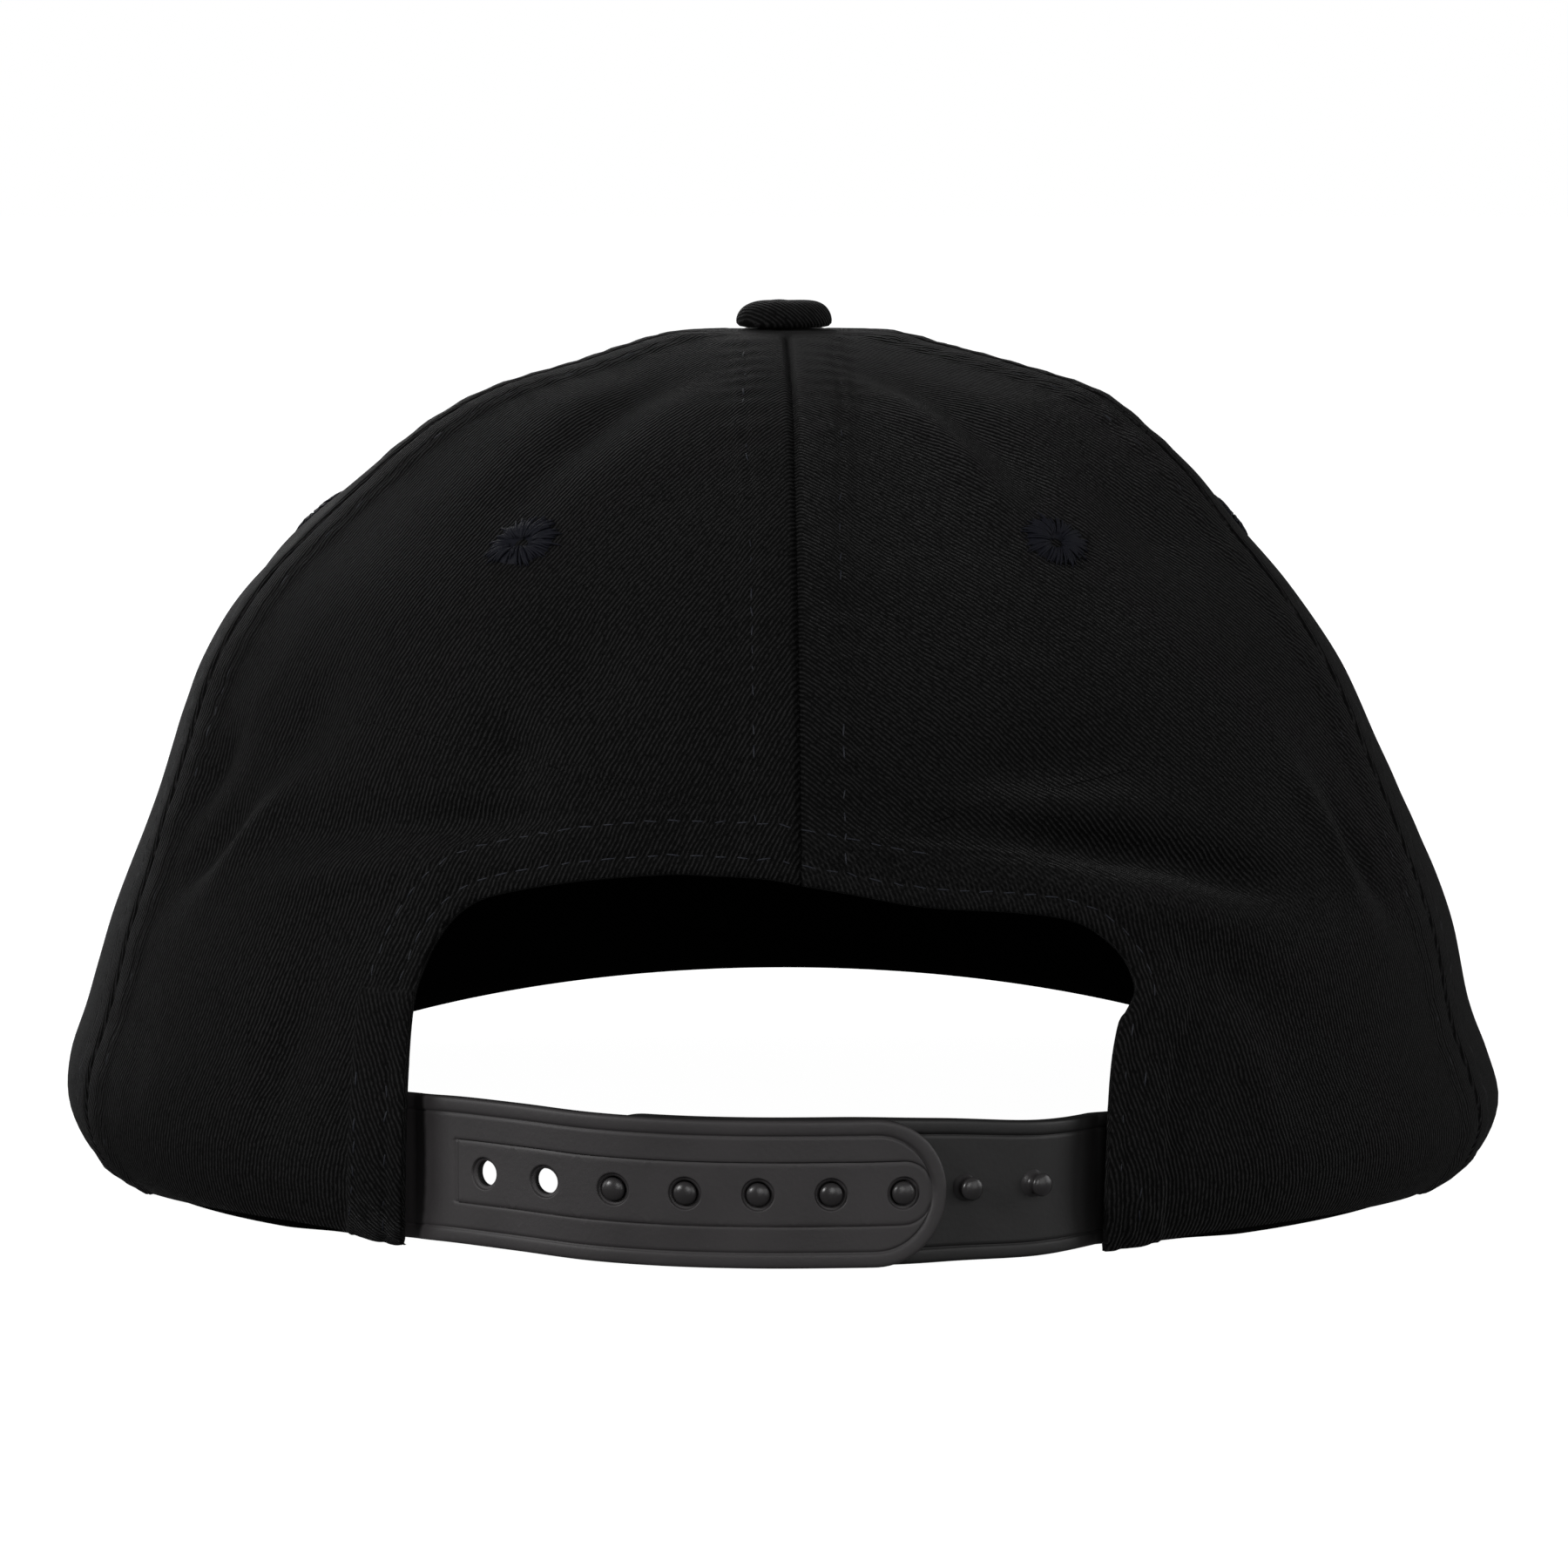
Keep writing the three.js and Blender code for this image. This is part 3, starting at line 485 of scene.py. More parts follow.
def gore_grid(near, far, lean, counts, widths):
    """Angles and rows of a grid from the near edge to the far one. Each line is the quadratic
    Bezier curve from edge to edge whose middle point leans off the near edge; its points are
    spaced in mm, close together near both edges."""
    start = to_plane(*near)
    end = to_plane(*far)
    reach = np.linalg.norm(end - start, axis=1, keepdims=True)
    middle = start + lean * 0.2 * reach if lean is not None else (start + end) / 2
    t = np.linspace(0, 1, 81)[:, None, None]
    lines = (1 - t) ** 2 * start + 2 * t * (1 - t) * middle + t ** 2 * end
    angle = lines[..., 0] / ROUND_SCALE
    row = np.interp(lines[..., 1], CLIMB, np.arange(TOP_ROW + 1))
    steps = np.linalg.norm(np.diff(crown(angle, row), axis=0), axis=-1)
    length = np.concatenate([np.zeros((1, steps.shape[1])), np.cumsum(steps, axis=0)])
    total = length[-1]
    first = np.minimum(widths[0], 0.3 * total)
    last = np.minimum(widths[1], 0.3 * total)
    share = np.linspace(0, 1, counts[0] + 1)[:, None] ** 1.25
    middle_share = np.linspace(0, 1, counts[1] + 1)[1:, None]
    last_share = np.linspace(0, 1, counts[2] + 1)[1:, None]
    wanted = np.concatenate([share * first, first + middle_share * (total - first - last),
                             total - last + last_share * last])
    columns = range(total.size)
    angle = np.stack([np.interp(wanted[:, i], length[:, i], angle[:, i]) for i in columns], -1)
    row = np.stack([np.interp(wanted[:, i], length[:, i], row[:, i]) for i in columns], -1)
    return angle, row


random = np.random.default_rng(7)
CREASES = 420
crease_angle = random.uniform(-np.pi, np.pi, CREASES)
crease_height = random.uniform(0.02, 0.93, CREASES)
crease_turn = random.normal(0, 0.9, CREASES)
crease_length = random.uniform(5, 14, CREASES)
crease_width = random.uniform(2.0, 5.0, CREASES)
crease_rise = random.normal(0, 0.11, CREASES)


def off_opening(angle, row):
    """Distance from the edge of the opening, in mm."""
    here = crown(angle, row).reshape(-1, 3)
    parts = np.array_split(here, 40)
    edge = opening_edge[None, ::6]
    nearest = [np.min(np.linalg.norm(part[:, None] - edge, axis=2), axis=1) for part in parts]
    return np.concatenate(nearest).reshape(np.shape(angle))


def relief(angle, row, hem_side=0):
    """Height in mm over the crown's form: small creases, a pressed allowance, groove and dimpled
    stitch line at each seam, the turned lower edge, and the hem round the opening."""
    form = crown_form(angle, row)
    reach = np.hypot(form[..., 0], form[..., 1])
    up = climb(row)
    rise = np.zeros_like(reach)
    for i in range(CREASES):
        side = between(angle, crease_angle[i]) * reach
        high = up - climb(row_at(crease_height[i]))
        cos, sin = np.cos(crease_turn[i]), np.sin(crease_turn[i])
        rise += crease_rise[i] * np.exp(-((side * cos + high * sin) / crease_length[i]) ** 2
                                        - ((high * cos - side * sin) / crease_width[i]) ** 2)
    for degrees, height, turn, length, width, out in FOLDS:
        side = between(angle, np.radians(degrees)) * reach
        high = up - climb(row_at(height))
        cos, sin = np.cos(np.radians(turn)), np.sin(np.radians(turn))
        rise += 0.4 * out * np.exp(-((side * cos + high * sin) / (0.85 * length)) ** 2
                                   - ((high * cos - side * sin) / (0.6 * width)) ** 2)
    off_seam = np.min([np.abs(between(angle, np.radians(seam))) for seam in SEAM_ANGLES], axis=0) * reach
    groove = -0.95 * np.exp(-(off_seam / 0.5) ** 2)
    allowance = 0.4 * (1 - ease(off_seam, 5.8, 8.0))
    dimple = -0.22 * np.exp(-((off_seam - SEAM_STITCH) / 0.55) ** 2)
    pucker = 0.09 * np.sin(2 * np.pi * up / 5.3 + 3 * np.sin(up / 11) + 4 * angle)
    pucker = pucker * np.exp(-((off_seam - SEAM_STITCH) / 3.5) ** 2)
    at_top = ease(reach, 7.5, 16)
    rise += (groove + allowance + dimple + pucker) * at_top
    rise += -0.7 * (1 - np.sqrt(1 - np.clip(1 - up / 0.9, 0, 1) ** 2))
    if hem_side:
        off_edge = off_opening(angle, row)
        tab = 1 - ease(form[..., 2], 31, 35)
        hem = (0.38 + 0.25 * tab) * (1 - ease(off_edge, HEM - 0.9, HEM + 0.5))
        rows = np.exp(-((off_edge - INNER_STITCH) / 0.5) ** 2)
        rows = rows + np.exp(-((off_edge - OUTER_STITCH) / 0.55) ** 2)
        ripple = 0.10 * np.sin(2 * np.pi * (form[..., 0] + 0.7 * form[..., 2]) / 4.1)
        ripple = ripple * np.exp(-((off_edge - 5) / 4) ** 2)
        roll = 0.75 * (1 - np.sqrt(1 - np.clip(1 - off_edge / 0.9, 0, 1) ** 2))
        rise += hem - 0.2 * rows + ripple - roll
    return rise


def put_gore(name, near, far, lean, counts, widths, seams, turns, flat, area, low_turn=None, hem_side=0):
    """Panel of two grids CLOTH apart, its ribs turned by turns degrees from level. Flat, a width by length,
    and area, in metres, are not used."""
    angle, row = gore_grid(near, far, lean, counts, widths)
    flip = lean is not None and hem_side > 0
    outer = off_crown(angle, row, relief(angle, row, hem_side))
    rounded = 0.35 * (1 - np.clip(climb(row) / 0.9, 0, 1))
    thick = CLOTH * (0.4 + 0.6 * ease(off_opening(angle, row), 0.3, 4)) if hem_side else CLOTH
    inner = off_crown(angle, row, rounded - thick)
    if flip:
        outer, inner, angle, row = outer[:, ::-1], inner[:, ::-1], angle[:, ::-1], row[:, ::-1]
    piece = put_shell(name + "_cloth", outer, inner)
    rows, columns = outer.shape[:2]
    cells = (rows - 1) * (columns - 1)
    index = np.zeros(len(piece.data.polygons), np.int32)
    # Inner faces take the darker copy of the twill, painted shade
    index[cells:2 * cells] = 1
    piece.data.materials.append(cloth_paint)
    piece.data.materials.append(shaded_inside_paint)
    piece.data.polygons.foreach_set("material_index", index)
    form = crown_form(angle, row)
    middle = np.radians(np.mean(seams))
    side = between(angle, middle) * np.hypot(form[..., 0], form[..., 1])
    up = climb(row)

    def ribs(degrees):
        turn = np.radians(degrees)
        return up * np.cos(turn) - side * np.sin(turn), side * np.cos(turn) + up * np.sin(turn)

    across, along = ribs(turns)
    low_across, low_along = ribs(turns if low_turn is None else low_turn)
    if hem_side > 0:
        mask = 1 - ease(form[..., 2] - 52 + 0.12 * form[..., 0], -7, 5)
    elif hem_side < 0:
        mask = (1 - ease(off_opening(angle, row), HEM - 0.2, HEM + 0.2)) * (1 - ease(form[..., 2], 32, 34))
    else:
        mask = np.zeros_like(up)
    weave = np.stack([across, along, mask], -1)
    weave_low = np.stack([low_across, low_along, 0 * up], -1)
    round_edge = np.array([CLOTH, CLOTH, 0])
    keep_vector(piece, "weave", np.stack([weave, weave + round_edge]))
    keep_vector(piece, "weave_low", np.stack([weave_low, weave_low + round_edge]))
    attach(piece, "root")
    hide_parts(name)


SEAM_TRIM = -0.03
BACK_SEAM = np.radians(SEAM_ANGLES[0])
rows_up = np.linspace(0, TOP_ROW, 400)


def seam_path(degrees, shift, rows=rows_up):
    """Angles and rows up a seam, moved sideways by shift mm."""
    form = crown_form(np.radians(degrees) + 0 * rows, rows)
    return np.radians(degrees) + shift / np.hypot(form[:, 0], form[:, 1]), rows


def edge_and_seam(side):
    """Path up one side of the opening, over the arch to the back seam, and up the seam."""
    on_side = (opening_angle < BACK_SEAM) if side < 0 else (opening_angle > BACK_SEAM)
    angle = opening_angle[on_side][::1 if side < 0 else -1]
    row = opening_row[on_side][::1 if side < 0 else -1]
    above = seam_path(SEAM_ANGLES[0], side * SEAM_TRIM, np.linspace(row[-1], TOP_ROW, 300)[1:])
    return np.concatenate([angle, above[0]]), np.concatenate([row, above[1]])


for side, name, other, turns, low_turn in (
        (-1, "panel_back_left", 289 - 360, 74, -62), (1, "panel_back_right", 71, -45, -80)):
    near = spread_evenly(*edge_and_seam(side), 250, dense=8)
    far = spread_evenly(*seam_path(other, -side * SEAM_TRIM), 250, dense=8)
    lean = inward(to_plane(*near), -side, 22)
    put_gore(name, near, far, lean, (30, 78, 14), (12, 9), (SEAM_ANGLES[0], other), turns,
             (0.118, 0.168), 0.0117, low_turn, side)

SIDE_CUT, FRONT_CUT = ((0.096, 0.168), 0.0113), ((0.087, 0.155), 0.0094)
for name, start, end, turns, cut in (
        ("panel_side_right", 71, 128, 70, SIDE_CUT), ("panel_front_right", 128, 180, -60, FRONT_CUT),
        ("panel_front_left", 180, 232, 60, FRONT_CUT), ("panel_side_left", 232, 289, -70, SIDE_CUT)):
    near = spread_evenly(*seam_path(start, SEAM_TRIM), 130, dense=6)
    far = spread_evenly(*seam_path(end, -SEAM_TRIM), 130, dense=6)
    put_gore(name, near, far, None, (14, 50, 14), (9, 9), (start, end), turns, *cut)

# Topstitching: lockstitch in a black and blue-grey sewing thread, beside every seam and in two
# rows round the opening. Each stitch is a short bent strand whose ends dip into the cloth.

STITCH, STITCH_PITCH, THREAD_RADIUS, TAB_STITCH = 2.2, 2.9, 0.13, 1.6
STRAND_STATIONS = np.linspace(-1, 1, 7)
STRAND_SIDES = 6


def strands(middle, way, out, length, radius, arch=0.10):
    """Points and faces of many strands: round tubes along way, closed to a point at both ends
    and bowed out by arch mm in the middle."""
    count = len(middle)
    across = np.cross(out, way)
    turn = np.arange(STRAND_SIDES) / STRAND_SIDES * 2 * np.pi
    thick = radius * np.sqrt(np.maximum(1 - np.abs(STRAND_STATIONS) ** 3, 0.004))
    bow = arch * (1 - STRAND_STATIONS ** 2) - 0.10
    half = np.broadcast_to(length, count)[:, None, None, None] / 2
    along = middle[:, None, None] + way[:, None, None] * STRAND_STATIONS[:, None, None] * half
    ring = (across[:, None, None] * np.cos(turn)[:, None] + out[:, None, None] * np.sin(turn)[:, None])
    points = along + out[:, None, None] * bow[:, None, None] + ring * thick[:, None, None]
    stations = len(STRAND_STATIONS)
    j, i = np.meshgrid(np.arange(stations - 1), np.arange(STRAND_SIDES), indexing="ij")
    following = (i + 1) % STRAND_SIDES
    quads = np.stack([j * STRAND_SIDES + i, j * STRAND_SIDES + following,
                      (j + 1) * STRAND_SIDES + following, (j + 1) * STRAND_SIDES + i], -1).reshape(-1, 4)
    starts = np.arange(count)[:, None] * stations * STRAND_SIDES
    faces = (quads[None] + starts[..., None]).reshape(-1, 4).tolist()
    cap = np.arange(STRAND_SIDES)
    faces += (starts + cap[::-1]).tolist() + (starts + (stations - 1) * STRAND_SIDES + cap).tolist()
    return points.reshape(-1, 3), faces


def thread(name, colour, gloss):
    """Sewing thread: dark, with the gloss given and the fine twist of its plies in the bump."""
    paint = bpy.data.materials.new(name)
    paint.use_nodes = True
    tree = paint.node_tree
    shader = tree.nodes["Principled BSDF"]
    where = add_node(tree, "ShaderNodeTexCoord")
    ply = noise(tree, where.outputs["Object"], 3200.0, 2.0)
    dark = tuple(0.45 * c for c in colour)
    tone = add_node(tree, "ShaderNodeMix", {"Factor": ply.outputs["Fac"], "A": (*dark, 1), "B": (*colour, 1)},
                    data_type="RGBA")
    tree.links.new(tone.outputs[2], shader.inputs["Base Color"])
    bump = bumped(tree, ply.outputs["Fac"], 0.5, 0.0001)
    tree.links.new(bump.outputs[0], shader.inputs["Normal"])
    shader.inputs["Roughness"].default_value = 0.62
    shader.inputs["Specular IOR Level"].default_value = gloss
    return paint


thread_paint = thread("sewing_thread", (0.0050, 0.0058, 0.0092), 0.15)


def beside(angle, row, shift):
    """Path moved sideways on the cloth by shift mm, to its left where shift is positive."""
    form = crown_form(angle, row)
    reach = np.hypot(form[:, 0], form[:, 1])
    way = np.stack([np.gradient(angle) * reach, np.gradient(climb(row))], -1)
    way = way / np.linalg.norm(way, axis=1, keepdims=True)
    up = climb(row) + way[:, 0] * shift
    return angle - way[:, 1] * shift / reach, np.interp(up, CLIMB, np.arange(TOP_ROW + 1))


def stitch_places(angle, row, on_hem=0, sink=0.0):
    """Middle, way and normal of each stitch along a path, each drawn into the cloth by up to
    twice sink mm."""
    way = crown(angle, row)
    length = np.concatenate([[0], np.cumsum(np.linalg.norm(np.diff(way, axis=0), axis=1))])
    at = np.arange(STITCH_PITCH * 0.6, length[-1] - STITCH_PITCH * 0.4, STITCH_PITCH)
    at = at + random.normal(0, 0.06, at.size)
    a, r = np.interp(at, length, angle), np.interp(at, length, row)
    middle = off_crown(a, r, relief(a, r, on_hem) - sink * random.uniform(0, 2, at.size))
    out = out_of(crown, a, r)
    a2, r2 = np.interp(at + 0.5, length, angle), np.interp(at + 0.5, length, row)
    ahead = off_crown(a2, r2, relief(a2, r2, on_hem)) - off_crown(a, r, relief(a, r, on_hem))
    ahead = ahead + np.cross(out, ahead) * random.normal(0, 0.12, at.size)[:, None]
    ahead = ahead / np.linalg.norm(ahead, axis=1, keepdims=True)
    return middle, ahead, out


stitch_rows = []
for number, seam in enumerate(SEAM_ANGLES):
    low = opening_row[np.argmin(np.abs(opening_angle - BACK_SEAM))] if number == 0 else 0.3
    for shift in (-SEAM_STITCH, SEAM_STITCH):
        rows = np.linspace(low + 0.12, row_at(0.985), 300)
        path = seam_path(seam, shift, rows)
        stitch_rows.append(stitch_places(*path, 1 if number == 0 else 0, 0.10 if number == 0 else 0.13))
# Rows round the opening: distance from its edge, and the heights at the right where they run
right_side = np.arange(opening_x.size) > opening_x.size // 2
height = opening_edge[:, 2]
for shift, kept, sink in (
        (INNER_STITCH, ~right_side & (height > 0.8) & (height < 33), 0.11),
        (OUTER_STITCH, ~right_side & (height > 0.8) & (height < 33), 0.11),
        (INNER_STITCH, (height > 33) | right_side & (height > 32), 0.02),
        (OUTER_STITCH, (height > 33) & ~right_side | right_side & (height > 45), 0.02),
        (TAB_STITCH, right_side & (height < 31) & (height > 0.8), 0.13),
        (TAB_STITCH + 2.8, right_side & (height < 28) & (height > 0.8), 0.13)):
    path = beside(opening_angle[kept], opening_row[kept], shift)
    stitch_rows.append(stitch_places(*path, 1, sink))
middle, way, out = (np.concatenate(part) for part in zip(*stitch_rows))
points, faces = strands(middle, way, out, STITCH, THREAD_RADIUS)
topstitching = put_mesh("topstitching", points, faces)
topstitching.data.materials.append(thread_paint)
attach(topstitching, "root")

# Eyelets: six round holes worked over with radial stitches of the blue-grey thread, their inner
# ends drawn together over the hole and their outer ends frayed into the twill.

EYELET_RADIUS, EYELET_STRANDS = 4.8, 120
# Eyelets: degrees round the crown, height in mm, and the turn of the slit at the middle
EYELETS = {
    "back_left": (-31.7, 89.5, 10), "back_right": (34.9, 89.5, 60), "side_right": (99, 89.5, 20),
    "side_left": (261, 89.5, -20), "front_right": (154, 89.5, 5), "front_left": (206, 89.5, 40)}

eyelet_paint = thread("embroidery_thread", (0.0050, 0.0053, 0.0078), 0.04)


def on_crown(angle, row, right, up):
    """Angle and row of points right and up mm away from one place on the crown."""
    form = crown_form(angle, row)
    high = np.interp(climb(row) + up, CLIMB, np.arange(TOP_ROW + 1))
    return angle + right / np.hypot(form[0], form[1]), high


for name, (degrees, height, slit) in EYELETS.items():
    angle = np.radians(degrees)
    low = FRONT_LIFT * max(-np.cos(angle), 0) ** 1.3
    row = float(row_at((height - low) / (CROWN_HEIGHT - low)))
    turn = np.sort(random.uniform(0, 2 * np.pi, EYELET_STRANDS))
    toward = np.abs(np.cos(turn - np.radians(slit)))
    inner_end = 0.35 + 0.9 * toward + random.uniform(0, 0.5, turn.size)
    outer_end = EYELET_RADIUS * random.normal(0.92, 0.09, turn.size)
    lean = random.normal(0, 0.10, turn.size)
    ends = []
    for radius, at in ((inner_end, turn), (outer_end, turn + lean)):
        a, r = on_crown(angle, row, 1.12 * radius * np.cos(at), 0.88 * radius * np.sin(at))
        lift_off = 0.55 - 0.095 * radius + random.uniform(-0.05, 0.12, turn.size)
        ends.append(off_crown(a, r, relief(a, r) + lift_off))
    middle = (ends[0] + ends[1]) / 2
    way = ends[1] - ends[0]
    length = np.linalg.norm(way, axis=1)
    way = way / length[:, None]
    out = out_of(crown, np.full(turn.size, angle), np.full(turn.size, row))
    out = out - way * np.sum(out * way, axis=1, keepdims=True)
    out = out / np.linalg.norm(out, axis=1, keepdims=True)
    points, faces = strands(middle, way, out, length, 0.17, arch=0.42)
    ring = np.linspace(0, 2 * np.pi, 37)[:-1]
    radius = np.array([0.0, 0.8, 1.6, 2.6, 3.6, 4.3])[:, None]
    a, r = on_crown(angle, row, 1.12 * radius * np.cos(ring), 0.88 * radius * np.sin(ring))
    pad_height = np.array([-0.25, -0.05, 0.42, 0.45, 0.3, -0.25])[:, None] + 0 * ring
    pad = off_crown(a, r, relief(a, r) + pad_height)
    j, i = np.meshgrid(np.arange(5), np.arange(36), indexing="ij")
    start = len(points)
    quads = np.stack([j * 36 + i, (j + 1) * 36 + i, (j + 1) * 36 + (i + 1) % 36, j * 36 + (i + 1) % 36], -1)
    points = np.concatenate([points, pad.reshape(-1, 3)])
    faces = faces + (quads.reshape(-1, 4) + start).tolist()
    eyelet = put_mesh("worked_eyelet_" + name, points, faces)
    eyelet.data.materials.append(eyelet_paint)
    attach(eyelet, "root")
    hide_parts("eyelet_" + name)

# Button: a pressed metal form covered in the twill, riveted through the six points of the panels
# from above, with its plain rivet inside.

BUTTON_HEIGHT, SHANK_RADIUS, RIVET_RADIUS, RIVET_THICKNESS, GAP = 3.5, 1.7, 5, 1.2, 0.3
button_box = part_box("button")
button_low = button_box[0][2] * 1000
button_top = button_box[1][2] * 1000
button_foot = button_top - BUTTON_HEIGHT
turn = np.linspace(0, np.pi / 2, 26)
dome = np.stack([BUTTON_RADIUS * np.cos(turn) ** 0.42, button_foot + 0.7 + 2.8 * np.sin(turn) ** 1.15], -1)
tucked = np.array([
    (0, button_low), (RIVET_RADIUS - 0.3, button_low), (RIVET_RADIUS, button_low + 0.3),
    (RIVET_RADIUS, button_low + RIVET_THICKNESS), (SHANK_RADIUS, button_low + RIVET_THICKNESS),
    (SHANK_RADIUS, button_foot), (5.4, button_foot - 0.25), (6.2, button_foot - 0.1),
    (6.6, button_foot + 0.3)])
profile = np.concatenate([tucked, dome])


def turned(profile, sides):
    """Profile of radius and height carried round the upright axis; its ends close to points."""
    around = np.arange(sides) / sides * 2 * np.pi
    x = profile[:, :1] * np.cos(around)
    y = profile[:, :1] * np.sin(around)
    z = profile[:, 1:] + 0 * around
    j, i = np.meshgrid(np.arange(len(profile) - 1), np.arange(sides), indexing="ij")
    quads = np.stack([j * sides + i, j * sides + (i + 1) % sides,
                      (j + 1) * sides + (i + 1) % sides, (j + 1) * sides + i], -1).reshape(-1, 4)
    return np.stack([x, y, z], -1).reshape(-1, 3), quads


def weld(piece):
    """Joins the points of a piece that lie in one place."""
    mesh = bmesh.new()
    mesh.from_mesh(piece.data)
    bmesh.ops.remove_doubles(mesh, verts=mesh.verts, dist=1e-6)
    mesh.to_mesh(piece.data)
    mesh.free()


points, faces = turned(profile, 72)
around = np.arctan2(points[:, 1], points[:, 0])
sag = 0.10 * np.cos(3 * around + 0.6) + 0.06 * np.cos(7 * around)
out_share = np.hypot(points[:, 0], points[:, 1]) / BUTTON_RADIUS
points[:, 2] += sag * ease(points[:, 2], button_foot, button_top) * out_share
button = put_mesh("covered_button", points, faces)
weld(button)
button.data.materials.append(cloth_paint)
corners = np.zeros(len(button.data.vertices) * 3)
button.data.vertices.foreach_get("co", corners)
corners = corners.reshape(-1, 3) * 1000
slope = corners[:, 0] * 0.8 + corners[:, 1] * 0.6 + (corners[:, 2] - button_foot) * 0.8
keep_vector(button, "weave", np.stack([slope, corners[:, 1] * 0.8 - corners[:, 0] * 0.6, 0 * slope], -1))
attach(button, "root")
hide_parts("button")

# Straps: two moulded plastic tongues sewn inside the hem at the feet of the opening. Both have a
# bead along the edge. The left one has seven countersunk holes in a lined channel, and the right
# one has seven pegs, five of them pressed through.

STRAP_HEIGHT, STRAP_THICKNESS, STRAP_FOOT, STRAP_TUCK, STRAP_TIP = 18.9, 1.6, 0.3, 12, 5.8
STRAP_BULGE, STRAP_RISE, STRAP_TAPER = 8.9, 1.3, 1.9
# Strap line in even steps from the left foot of the opening to the right one: bulge and rise
STRAP_LINE = np.array([
    (0.000, 0.31), (0.560, 0.90), (0.863, 0.89), (0.984, 0.44), (0.998, 0.15), (0.967, 0.01),
    (0.953, 0.00), (0.915, 0.00), (0.749, 0.09), (0.480, 0.12), (0.000, 0.23)])
PEG_PITCH, PEG_COUNT, PEGS_SNAPPED, SNAP_SHIFT = 9.3, 7, 5, -3.3
BEAD, CHANNEL, CHANNEL_PAST_HOLE, BORE, SINK = 2.0, 4.05, 5.3, 1.62, 2.15

foot_left = np.arcsin((OPENING_SHIFT - OPENING_WIDTH / 2) / (section(1, 0.0) * CROWN_WIDTH / 2))
foot_right = np.arcsin((OPENING_SHIFT + OPENING_WIDTH / 2) / (section(2, 0.0) * CROWN_WIDTH / 2))
tuck = STRAP_TUCK / (section(3, 0.0) * CROWN_DEPTH / 2)
line_angle = np.linspace(foot_left - tuck, foot_right + tuck, 1201)
line_row = (line_angle - foot_left) / (foot_right - foot_left) * (len(STRAP_LINE) - 1)
line_bulge = STRAP_BULGE * curve_at(STRAP_LINE[:, 0], line_row)
line_rise = STRAP_RISE * curve_at(STRAP_LINE[:, 1], line_row)
line = off_crown(line_angle, 0 * line_angle, line_bulge - CLOTH - GAP)[:, :2]
line_length = np.concatenate([[0], np.cumsum(np.linalg.norm(np.diff(line, axis=0), axis=1))])
line_way = np.gradient(line, line_length, axis=0)
line_length = line_length - np.interp(SNAP_SHIFT, line[:, 0], line_length)
strap_middle = STRAP_FOOT + STRAP_HEIGHT / 2
strap_half = STRAP_HEIGHT / 2
snap_half = (PEGS_SNAPPED - 1) / 2 * PEG_PITCH
tip_left = snap_half + STRAP_TIP


def strap_point(length, off, z):
    """Point at a length along the strap line, counted from the middle snapped peg, moved off to
    the outside and up by z from the strap's middle line."""
    x = np.interp(length, line_length, line[:, 0])
    y = np.interp(length, line_length, line[:, 1])
    way_x = np.interp(length, line_length, line_way[:, 0])
    way_y = np.interp(length, line_length, line_way[:, 1])
    rise = np.interp(length, line_length, line_rise)
    return np.stack(np.broadcast_arrays(x + way_y * off, y - way_x * off, strap_middle + rise + z), -1)


def bead_relief(off_edge):
    """Rounded bead along the edge, the groove inside it and the rounding of the edge, in mm."""
    bead = 0.16 * np.sin(np.pi * np.clip(off_edge / BEAD, 0, 1)) ** 0.5
    groove = -0.20 * np.exp(-((off_edge - BEAD) / 0.13) ** 2)
    edge = -0.35 * (1 - np.sqrt(1 - np.clip(1 - off_edge / 0.4, 0, 1) ** 2))
    return bead + groove + edge


def strap_paint_of(name, low, high, gloss):
    """Moulded soft plastic: dark grey, clouded, finely pitted, with faint dust and rubbed spots."""
    paint = bpy.data.materials.new(name)
    paint.use_nodes = True
    tree = paint.node_tree
    shader = tree.nodes["Principled BSDF"]
    where = add_node(tree, "ShaderNodeTexCoord").outputs["Object"]
    cloud = noise(tree, where, 70.0, 6.0)
    dust = noise(tree, where, 1500.0, 3.0)
    specks = add_node(tree, "ShaderNodeMapRange",
                      {"Value": dust.outputs["Fac"], "From Min": 0.66, "From Max": 0.78})
    mixed = scaled(tree, specks.outputs[0], 0.5, cloud.outputs["Fac"])
    tone = add_node(tree, "ShaderNodeMix", {"Factor": mixed.outputs[0], "A": (*low, 1), "B": (*high, 1)},
                    data_type="RGBA")
    tree.links.new(tone.outputs[2], shader.inputs["Base Color"])
    rough = scaled(tree, cloud.outputs["Fac"], 0.25, gloss)
    tree.links.new(rough.outputs[0], shader.inputs["Roughness"])
    bump = bumped(tree, dust.outputs["Fac"], 0.25, 0.0001)
    tree.links.new(bump.outputs[0], shader.inputs["Normal"])
    shader.inputs["Specular IOR Level"].default_value = 0.22
    return paint


plastic_paint = strap_paint_of("strap_plastic", (0.0088, 0.0080, 0.0083), (0.0185, 0.0168, 0.0175), 0.42)
# The right strap is the same plastic as the left one in a darker copy: painted shade
shaded_strap_paint = strap_paint_of("strap_plastic_painted_shade", (0.0024, 0.0023, 0.0023), (0.0056, 0.0053, 0.0054), 0.42)
peg_paint = strap_paint_of("strap_peg", (0.0070, 0.0065, 0.0067), (0.0150, 0.0139, 0.0144), 0.18)
